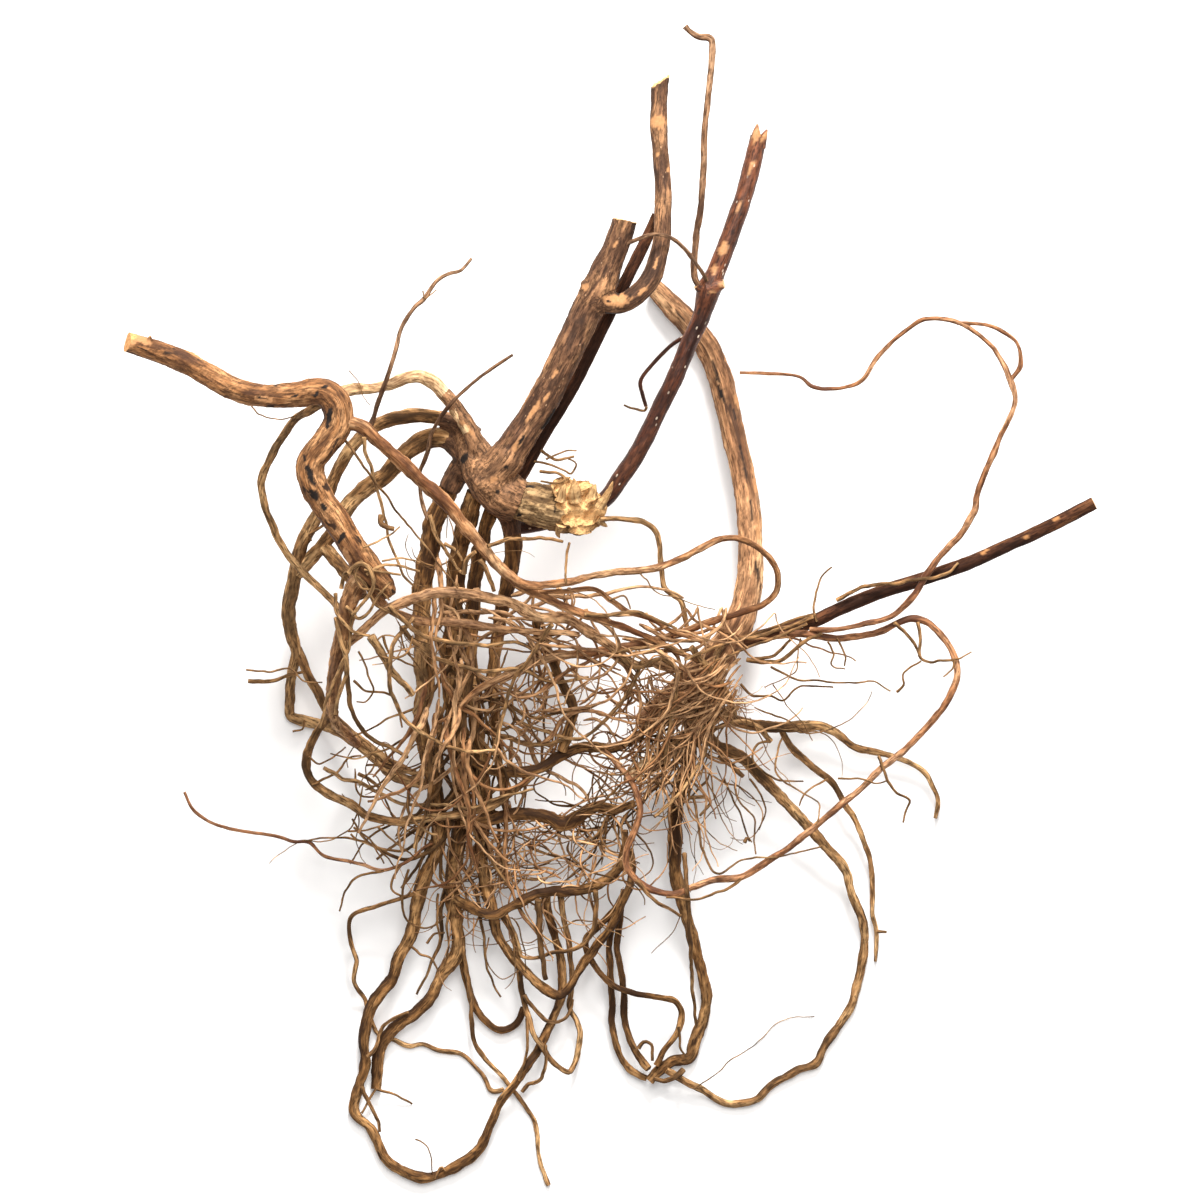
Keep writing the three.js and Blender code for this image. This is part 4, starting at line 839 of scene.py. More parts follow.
# ---------------------------------------------------------------------------
# Orange roots: the roots that run across from the knot at the foot of the
# left stem. Newer, smoother bark of a warm orange-brown, worn pale on top.
# ---------------------------------------------------------------------------
ROOT_DIAGONAL = [
    [
        [-85, 59, 82, 2.5], [-79, 57.5, 83, 2.6], [-73, 52, 82, 2.4], [-67, 47, 81, 2.3],
        [-60, 40.5, 80, 2.3], [-54, 35, 79, 2.4], [-50, 31, 78, 2.5], [-45, 24.5, 77, 2.4],
        [-40, 18.5, 76, 2.2], [-33, 10.5, 75, 2], [-27, 6, 74, 1.8], [-20, 4.7, 73, 1.5],
        [-12, 5.8, 72, 1.4], [-4, 7.5, 71, 1.3], [5, 9.2, 70, 1.3], [13, 9.7, 68, 1.3],
        [21, 11.3, 66, 1.3], [28, 14.5, 64, 1.2], [36, 18.5, 61, 1.2], [42, 20.4, 58, 1.1],
        [47, 20, 55, 1.1], [53, 17, 51, 1.1], [57.5, 12.5, 47, 1.1], [59.5, 8, 44, 1.1],
        [58.5, 2.5, 41, 1.1], [54, -1.5, 39, 1.1], [47, -4, 38, 1.2], [39, -6.5, 38, 1.3],
        [30, -9.5, 40, 1.3], [21, -12.5, 43, 1.4], [11, -15.2, 46, 1.5], [1, -17, 48, 1.5],
        [-10, -18.3, 50, 1.5], [-20, -20.3, 51, 1.5], [-29, -24, 52, 1.5], [-38, -28.5, 52, 1.4],
        [-44, -33, 51, 1.1], [-49, -38, 48, 0.8], [-55, -41, 43, 0.5],
    ],
]
ROOT_KNOT = [
    [
        [-75, 9, 73, 3.4], [-80, 6, 71, 3.3], [-83, 0, 68, 3.2], [-84, -7, 65, 3], [-86, -15, 60, 3],
        [-88, -24, 54, 2.8], [-89, -32, 47, 2.5], [-89, -38, 40, 2], [-87.5, -42, 33, 1.8],
        [-84, -45, 24, 1.6], [-81, -48.5, 14, 1.4],
    ],
]
ROOT_ORANGE_UPPER = [
    [
        [-83, -14, 64, 1.4], [-77, -8.5, 70, 1.5], [-72, -4, 71, 1.6], [-66, -1, 71, 1.8],
        [-60, 1, 71, 1.9], [-52, 2.3, 70, 1.9], [-44, 2, 69, 1.9], [-37, 0.5, 68, 1.9],
        [-31, -0.5, 67, 1.9], [-25.5, -3.5, 65, 2], [-20, -5.5, 63, 2], [-12, -6, 61, 2],
        [-6, -9, 59, 2], [0, -13, 56, 1.8], [6, -17, 52, 1.5], [12, -21, 48, 1.3], [20, -21.5, 43, 1.1],
        [27, -24, 35, 1],
    ],
]
ROOT_ORANGE_LOWER = [
    [
        [-77, 5, 69, 1.6], [-72, -1.5, 66.5, 1.6], [-66, -5, 66, 1.6], [-58, -7, 65, 1.6],
        [-48, -7.5, 64, 1.6], [-36, -9, 62, 1.4], [-26, -10.3, 60, 1.2], [-14, -10.5, 58, 1.1],
        [-7, -11.5, 56, 1],
    ],
]
ROOT_MIDDLE = [
    [
        [-28, 5.5, 72, 1.5], [-22, 2.3, 69, 1.5], [-15, -0.8, 67, 1.6], [-8, -4, 65.5, 1.6],
        [0, -6.2, 64, 1.4], [8, -9, 60, 1.2], [14, -11.3, 56, 1.1], [22, -15, 50, 1],
        [30, -19, 42, 1], [35, -22, 32, 1],
    ],
    [
        [-22, 2.3, 69, 0.9], [-10, 3, 69, 0.9], [-2, 3.3, 67, 0.9], [3, 0, 64, 0.9], [10, -4, 60, 0.9],
        [16, -6, 56, 0.8], [24, -10, 50, 0.8], [32, -13, 42, 0.8], [37, -16, 33, 0.8],
    ],
]
ROOT_BRIGHT = [
    [
        [34, -41, 30, 2.2], [27, -48.5, 28, 2.3], [20, -52.5, 28, 2.3], [12, -57, 30, 2],
        [9, -60, 34, 1.5],
    ],
]
bark_orange = bark(
    "root_bark_orange", base=(194, 138, 90), light=(242, 194, 144), dark=(108, 66, 38), patch=(86, 56, 34),
    cover=0.27, rough=0.72, stretch=0.2,
)
LOOK = dict(sides=14, step=0.7, wander=1.6, bends=80, knobs=0.45, lumps=0.8, furrows=0.9)
root("root_diagonal", "bark_orange", ["root_diagonal"], ROOT_DIAGONAL, bark_orange, seed=26,
     tints=[0.22], **LOOK)
root("root_knot", "bark_orange", ["root_knot"], ROOT_KNOT, bark_orange, seed=27, tints=[0.6], **LOOK)
root("root_orange_upper", "bark_orange", ["root_orange_upper"], ROOT_ORANGE_UPPER, bark_orange, seed=28,
     tints=[0.8], **LOOK)
root("root_orange_lower", "bark_orange", ["root_orange_lower"], ROOT_ORANGE_LOWER, bark_orange, seed=29,
     tints=[0.7], **LOOK)
root("root_middle", "bark_orange", ["root_middle"], ROOT_MIDDLE, bark_orange, seed=30, **LOOK)
root("root_bright", "bark_orange", ["root_bright"], ROOT_BRIGHT, bark_pale, seed=31, tints=[0.9], **LOOK)

# ---------------------------------------------------------------------------
# Bands: medium roots that sweep from side to side through the tangle and tie
# the bundle to the clump on the right.
# ---------------------------------------------------------------------------
ROOT_LOOP_LEFT = [
    [
        [-88.5, -37, 42, 1.5], [-91, -39.5, 37, 1.6], [-95, -45, 32, 1.5], [-98.3, -52, 29, 1.5],
        [-97, -59, 27, 1.5], [-91, -64.5, 26, 1.6], [-83, -68.5, 26, 1.6], [-77, -72.3, 27, 1.6],
        [-68, -73.8, 28, 1.6], [-60, -73, 29, 1.5], [-52, -72, 30, 1.5], [-44, -71, 31, 1.5],
        [-35, -68, 32, 1.4], [-28, -63, 32, 1.3], [-22, -58, 33, 1.2],
    ],
]
ROOT_DOWN = [
    [
        [-21, -6, 60.5, 1.5], [-20.5, -12, 50, 1.5], [-17.5, -17, 45, 1.7], [-15, -23, 43, 1.7],
        [-12.5, -29, 41, 1.7], [-9.5, -36, 39, 1.8], [-10, -43, 37, 1.9], [-12.8, -50, 34.5, 1.8],
    ],
]
ROOT_BAND_UPPER = [
    [
        [-48, -49, 30, 1.6], [-42, -54, 32, 1.9], [-35, -57, 32.5, 2], [-27, -57.5, 33, 2],
        [-20, -56, 33, 2], [-13, -52, 32.5, 2], [-5, -49, 32, 1.9], [4, -49.5, 31, 1.7],
        [12, -46, 28, 1.5], [17, -41, 25, 1.4],
    ],
]
ROOT_BAND_LOWER = [
    [
        [-46, -75, 24, 1.9], [-36, -73.5, 25.5, 2.1], [-27, -71.5, 25.5, 2.2], [-19, -72, 25.5, 2.4],
        [-12.5, -74.5, 26, 2.6], [-7, -72, 26.5, 2.4], [-2, -69, 27, 2], [6, -70, 29, 1.6],
        [11, -68, 33, 1.2],
    ],
]
ROOT_ARC = [
    [
        [-48, -100, 14, 1.8], [-41, -104, 18.5, 1.8], [-35, -105, 19.5, 1.8], [-29, -102, 19.5, 1.8],
        [-22, -99, 19.5, 1.8], [-14, -97.3, 20, 1.9], [-6, -96.5, 21, 1.9], [1, -94, 22.5, 1.8],
        [6, -89.5, 24.5, 1.7], [8, -84, 29, 1.4], [8, -77, 32, 1.2],
    ],
]
LOOK = dict(sides=12, step=0.8, wander=2.2, bends=80, knobs=0.5, lumps=0.8, furrows=0.8)
root("root_loop_left", "bark_brown", ["root_loop_left"], ROOT_LOOP_LEFT, bark_arch, seed=32, **LOOK)
root("root_down", "bark_brown", ["root_down"], ROOT_DOWN, bark_brown, seed=33, tints=[0.6], **LOOK)
root("root_band_upper", "bark_brown", ["root_band_upper"], ROOT_BAND_UPPER, bark_brown, seed=34, **LOOK)
root("root_band_lower", "bark_brown", ["root_band_lower"], ROOT_BAND_LOWER, bark_brown, seed=35, **LOOK)
root("root_arc", "bark_brown", ["root_arc"], ROOT_ARC, bark_brown, seed=36, **LOOK)

# ---------------------------------------------------------------------------
# Right-hand loops: two long thin roots that stand up and swing out to the
# right and back. Smooth reddish skin with a few kinks.
# ---------------------------------------------------------------------------
ROOT_RIGHT_LOOP = [
    [
        [60, -11.5, 30, 1.3], [66, -11.3, 32, 1.3], [73, -12, 33, 1.3], [80, -12.5, 33, 1.2],
        [88, -11.8, 33, 1.2], [95, -10, 33, 1.2], [100, -7.4, 33, 1.2], [104.5, -6, 33, 1.2],
        [110, -8, 34, 1.2], [114.5, -13, 35, 1.2], [117.5, -18, 36, 1.2], [119, -24, 37, 1.2],
        [117.5, -30, 38, 1.2], [114, -36, 38, 1.2], [109, -42.5, 38, 1.2], [102, -49.5, 38, 1.2],
        [94, -56, 38, 1.2], [86, -63.5, 38, 1.2], [77, -71, 38, 1.2], [69, -77.5, 38, 1.2],
        [58, -85.7, 38, 1.2], [47, -92, 38, 1.3], [39, -93.3, 38, 1.3], [31, -95.8, 38, 1.3],
        [25, -98, 38, 1.2], [19, -97.3, 38, 1.2], [14, -95, 38, 1.2], [10, -91, 38, 1.2],
        [8.3, -86.5, 38, 1.2], [9.5, -81, 38.5, 1.2], [12, -76, 39, 1.2], [13.3, -70, 39, 1.2],
        [12, -64, 38.5, 1.2], [9.5, -59, 37, 1.1], [5, -54, 35, 1.1], [1, -50, 32.5, 1],
    ],
]
ROOT_THIN_LOOP = [
    [
        [70, -10, 33.5, 0.9], [77, -10, 35.5, 0.9], [85, -9, 36, 0.9], [95, -6.6, 36, 1],
        [100, -3.6, 36, 1.1], [104, 1, 36, 1.1], [109, 8.5, 36, 1.2], [113, 14, 36, 1.1],
        [116, 17.5, 36, 1.1], [120.5, 22, 37, 1.1], [124.5, 29.5, 38, 1.2], [125.5, 35, 38, 1.1],
        [128, 41.5, 39, 1.1], [131.5, 50, 40, 1.1], [133.5, 55.5, 40, 0.9], [137, 62, 41, 0.9],
        [138.3, 67, 41, 1], [137, 73, 41, 1.1], [133.5, 80, 41, 0.9], [129, 86, 41, 0.8],
        [122, 91, 41, 0.8], [116, 93.2, 41, 0.8], [110, 93.5, 41, 0.8], [106, 92.5, 40, 0.8],
        [98, 86.5, 38, 0.8], [92, 80, 37, 0.8], [87.5, 73.5, 36, 0.8], [82, 71, 35, 0.7],
        [77, 70.3, 34, 0.7], [71, 71, 33, 0.7], [66.5, 74.5, 32, 0.6], [60, 75.4, 31, 0.6],
        [47, 75.7, 29, 0.6],
    ],
    [
        [137, 73, 41, 0.8], [140.3, 78, 41, 0.8], [139.5, 84, 41, 0.7], [137, 87.5, 41, 0.7],
        [131, 91, 41, 0.7], [125, 91.8, 41, 0.7], [119, 92, 41, 0.7],
    ],
]
ROOT_LONG_THIN = [
    [
        [-139, -64, 14, 0.5], [-136, -70, 14, 0.6], [-131, -74, 14, 0.6], [-125, -76, 14, 0.6],
        [-116, -77.5, 15, 0.6], [-108, -79, 15, 0.6], [-103, -80.8, 16, 0.6], [-97, -81, 16, 0.6],
        [-92, -86, 17, 0.6], [-84, -87.5, 18, 0.6], [-79, -88.5, 18, 0.6], [-72, -90.5, 19, 0.6],
        [-64, -87, 20, 0.6], [-58, -82, 20, 0.6], [-54, -80, 19.5, 0.7],
    ],
]
bark_red = bark(
    "root_bark_red", base=(170, 116, 76), light=(214, 164, 122), dark=(100, 60, 38), patch=(84, 54, 38),
    cover=0.25, rough=0.66, stretch=0.2,
)
LOOK = dict(sides=10, step=0.8, wander=1.8, bends=80, knobs=0.5, lumps=0.7, furrows=0.5)
root("root_right_loop", "bark_orange", ["root_right_loop"], ROOT_RIGHT_LOOP, bark_red, seed=37, **LOOK)
root("root_thin_loop", "bark_orange", ["root_thin_loop"], ROOT_THIN_LOOP, bark_red, seed=38, **LOOK)
root("root_long_thin", "bark_orange", ["root_long_thin"], ROOT_LONG_THIN, bark_red, seed=39, **LOOK)

# ---------------------------------------------------------------------------
# Outer and hanging roots: the long thin roots that leave the clump and the
# bundle and lie on the surface in loops. Wiry, kinked, dull brown.
# ---------------------------------------------------------------------------
ROOT_OUTER_UPPER = [
    [
        [37, -35, 25, 2], [43, -39.5, 19, 2.1], [53, -42.3, 14, 2.1], [61, -42.5, 11, 2.1],
        [68, -42, 9, 2], [74, -42, 8, 1.7], [79, -44.5, 7, 1.5], [84, -48.3, 6, 1.4],
        [90, -50.5, 5.5, 1.3], [97, -52.2, 5, 1.1], [104, -54.5, 4.5, 1], [108.5, -57.5, 4, 0.9],
        [111, -62, 3.5, 0.8], [113, -67, 3, 0.8], [112.3, -73, 2.5, 0.7],
    ],
    [
        [60, -42, 11, 1.4], [64, -49, 9, 1.3], [70, -55, 8, 1.2], [77, -60.5, 7, 1.2], [81, -67, 6, 1.1],
        [85.5, -73.5, 5.5, 1], [88.2, -80.5, 5, 1], [90.5, -88, 4, 0.9], [91.2, -98, 3.5, 0.9],
        [91.4, -105, 3, 0.8], [92.5, -110.5, 2.5, 0.8], [92, -121, 1.5, 0.6],
    ],
]
ROOT_OUTER_LOWER = [
    [
        [33, -42, 25, 2.2], [40, -49, 21, 2.2], [48, -53, 18, 2.1], [54, -59.5, 15, 2],
        [62, -67.5, 12, 2], [70, -76, 10, 1.9], [77, -84, 8, 1.8], [82, -90, 7, 1.7],
        [84.5, -98.5, 6, 1.6], [88, -107.5, 4, 1.6], [88.3, -117, 1.3, 1.6], [86, -130, 1.2, 1.6],
        [82.5, -139, 1.2, 1.5], [75.5, -149, 1.2, 1.5], [72.5, -155, 1.2, 1.5], [66, -157.8, 1.2, 1.5],
        [58, -162, 1.2, 1.4], [52.5, -167, 1.1, 1.4], [46, -169, 1, 1.4], [41.5, -168.3, 1.1, 1.3],
        [35, -164.8, 2.5, 1.3], [27, -160.3, 5, 1.3], [22, -157.5, 6.5, 1.2],
    ],
]
ROOT_TAIL = [
    [
        [31, -44, 21, 2.4], [29, -58, 18, 2.6], [26, -68, 16, 2.6], [24.8, -80, 14, 2.5],
        [25.5, -92, 12, 2.3], [27.5, -101, 10, 2.2], [30.5, -111, 8, 2], [33, -120, 6, 2],
        [35.3, -130, 4, 2], [35, -139, 2, 2], [32, -147, 1.6, 2.1], [30, -153.5, 1.6, 2.2],
        [24, -154.5, 3, 2], [19.5, -157.5, 4, 2], [16.5, -161, 4, 1.8],
    ],
]
ROOT_HANGING = [
    [
        [8, -97, 16, 1.3], [6.3, -108, 12, 1.3], [5.7, -116, 10, 1.2], [7.5, -127, 8, 1.2],
        [8, -140, 6, 1.3], [10.5, -148, 5, 1.3], [14, -154, 5.5, 1.3], [16.5, -157, 7, 1.2],
    ],
    [
        [7.5, -99, 15, 1.2], [4, -107, 12, 1.2], [3, -117, 9, 1.2], [3.7, -131, 6, 1.2],
        [4.2, -144, 4, 1.2], [8, -154.5, 2.4, 1.2], [12.5, -158.7, 2.4, 1.2], [15.5, -160, 3, 1.1],
    ],
    [
        [5, -104, 13, 1.2], [0, -109, 11.5, 1.3], [-4.7, -114.5, 10, 1.2], [-1.5, -123, 10, 1.1],
        [3, -128, 10.5, 1.1], [9, -131, 11, 1.1], [20, -133, 9, 1.1], [25.5, -134.5, 8, 1.1],
        [27.5, -138.5, 7, 1.1], [26, -144, 7, 1.1], [21.5, -151, 7, 1.1], [19, -156, 7.2, 1.1],
    ],
]
ROOT_HOOK = [
    [
        [-46.5, -116, 8, 1.4], [-44.5, -129, 4, 1.3], [-42, -136, 3, 1.3], [-37, -142.5, 2.2, 1.3],
        [-32, -144, 2, 1.3], [-28, -142, 2.4, 1.3], [-25.5, -137, 4.8, 1.3],
    ],
]
ROOT_CURL = [
    [
        [-34, -104, 16.5, 1], [-29, -112, 11, 1.1], [-27, -124, 8.5, 1.1], [-25.3, -135, 7, 1.1],
        [-22.5, -145, 9, 1.1], [-18.5, -150.5, 9.5, 1.1], [-14.5, -155.5, 8, 1], [-10, -158, 6, 1],
        [-7.6, -153, 5, 1], [-6.6, -146, 5, 1], [-8, -141, 5, 1], [-10.3, -136.5, 5, 1],
        [-9.5, -130, 6, 1], [-9.5, -123, 8, 1], [-11, -112, 12, 1], [-13.5, -98, 18.5, 1.1],
    ],
]
ROOT_STRAY = [
    [
        [-46.3, -115.5, 10.8, 0.9], [-43.7, -129, 8, 0.8], [-43, -140, 5.5, 0.8], [-42, -148, 4, 0.8],
        [-38, -154, 3, 0.8], [-33, -159, 2, 0.8], [-29.5, -163.5, 1.6, 0.8], [-25, -170, 1, 0.8],
        [-21.5, -176, 0.7, 0.8], [-20.5, -184, 0.7, 0.8], [-19.5, -190, 0.7, 0.8], [-17, -196, 0.7, 0.7],
    ],
]
ROOT_OUTLINE = [
    [
        [-59, -97, 14, 0.9], [-67, -99.8, 14, 0.8], [-75, -102.3, 13, 0.8], [-82, -105, 11, 0.8],
        [-84, -109, 10, 0.8], [-83, -116, 9, 0.8], [-81.5, -121, 8, 0.8], [-82.5, -128, 6, 0.8],
        [-79, -133, 3, 0.8], [-77.5, -138, 2, 0.8], [-76, -142, 1.6, 0.8], [-74, -145.5, 1, 0.8],
        [-69, -147.3, 0.8, 0.8], [-64, -149.5, 0.7, 0.8], [-60, -149, 0.7, 0.8], [-55, -151, 0.7, 0.8],
        [-47, -152, 0.7, 0.8], [-42, -156, 0.8, 0.8], [-38.5, -160, 1, 0.8], [-36.3, -164.5, 1, 0.9],
        [-32, -163.7, 1, 0.8],
    ],
]
ROOT_STUMP_SIDE = [
    [
        [0, 27, 52, 1], [8, 26.7, 50, 0.9], [14, 26, 49, 1], [18, 23.5, 48, 1], [19.5, 19, 48, 1],
        [20.5, 11, 47, 1], [21, 5, 46, 0.9], [23.5, 2, 44, 0.9], [27, -0.5, 42, 0.9], [28.5, -6, 40, 0.9],
        [29, -9.5, 38, 0.9],
    ],
]
LOOK = dict(sides=12, step=0.8, wander=2.0, bends=85, knobs=0.55, lumps=0.8, furrows=0.7)
root("root_outer_upper", "bark_brown", ["root_outer_upper"], ROOT_OUTER_UPPER, bark_arch, seed=40, **LOOK)
root("root_outer_lower", "bark_brown", ["root_outer_lower"], ROOT_OUTER_LOWER, bark_arch, seed=41, **LOOK)
root("root_tail", "bark_brown", ["root_tail"], ROOT_TAIL, bark_brown, seed=42, tints=[0.4], **LOOK)
root("root_hanging", "bark_brown", ["root_hanging"], ROOT_HANGING, bark_brown, seed=43,
     tints=[0.2, 0.3, 0.45], **LOOK)
root("root_hook", "bark_brown", ["root_hook"], ROOT_HOOK, bark_brown, seed=44, **LOOK)
root("root_curl", "bark_brown", ["root_curl"], ROOT_CURL, bark_arch, seed=45, **LOOK)
root("root_stray", "bark_brown", ["root_stray"], ROOT_STRAY, bark_arch, seed=46, **LOOK)
root("root_outline", "bark_brown", ["root_outline"], ROOT_OUTLINE, bark_arch, seed=47, **LOOK)
root("root_stump_side", "bark_tan", ["root_stump_side"], ROOT_STUMP_SIDE, bark_arch, seed=48,
     tints=[0.7], **LOOK)

# ---------------------------------------------------------------------------
# Branch rootlets: side roots, nearly all under two millimetres thick. Each
# lies over whatever is beneath it, fairly straight between where it touches.
# ---------------------------------------------------------------------------
def settle():
    """The places in plan of everything laid so far, to look up by nearness."""
    places = KDTree(len(laid))
    for i, (x, y, top) in enumerate(laid):
        places.insert((x, y, 0), i)
    places.balance()
    return places


LAID = settle()
CATCH = 6  # millimetres from its far end within which a loose rootlet finds a root to rest on


def drape(line, pull=30, depth=1.0, reach=2.6, fall=0.45):
    """Gives a flat line of (x, y, radius) its height over the roots laid so far. It is stiff: beyond
    a root it lies on it comes down by fall for each millimetre. It starts on the root nearest to it."""
    dense = []
    ends = [line[0], *line, line[-1]]
    for k in range(1, len(ends) - 2):
        before, a, b, after = (np.array(p, float) for p in ends[k - 1:k + 3])
        parts = max(1, round(math.dist(a[:2], b[:2]) / 2.5))
        for f in (n / parts for n in range(parts)):
            bow = (b - before) * f + (2 * before - 5 * a + 4 * b - after) * f**2
            bow += (3 * a - before - 3 * b + after) * f**3
            x, y, r = a + bow / 2
            dense.append((x, y, max(r, 0.1)))
    dense.append(line[-1])
    floor = []
    for k, (x, y, r) in enumerate(dense):
        near = LAID.find_range((x, y, 0), reach)
        nearest = LAID.find((x, y, 0))
        if not near and (k == 0 or (k == len(dense) - 1 and nearest[2] < CATCH)):
            near = [nearest]
        floor.append(max((laid[i][2] for _, i, _ in near), default=0.3) + r)
    height = np.array(floor)
    gaps = [math.dist(a[:2], b[:2]) for a, b in zip(dense, dense[1:])]
    for k, gap in enumerate(gaps):
        height[k + 1] = max(height[k + 1], height[k] - fall * gap)
    for k, gap in reversed(list(enumerate(gaps))):
        height[k] = max(height[k], height[k + 1] - fall * gap)
    low = height.copy()
    for _ in range(pull):
        height[1:-1] = np.maximum(low[1:-1], (height[:-2] + height[2:]) / 2)
    height *= depth
    return [[x, y, float(max(h, r)), r] for (x, y, r), h in zip(dense, height)]


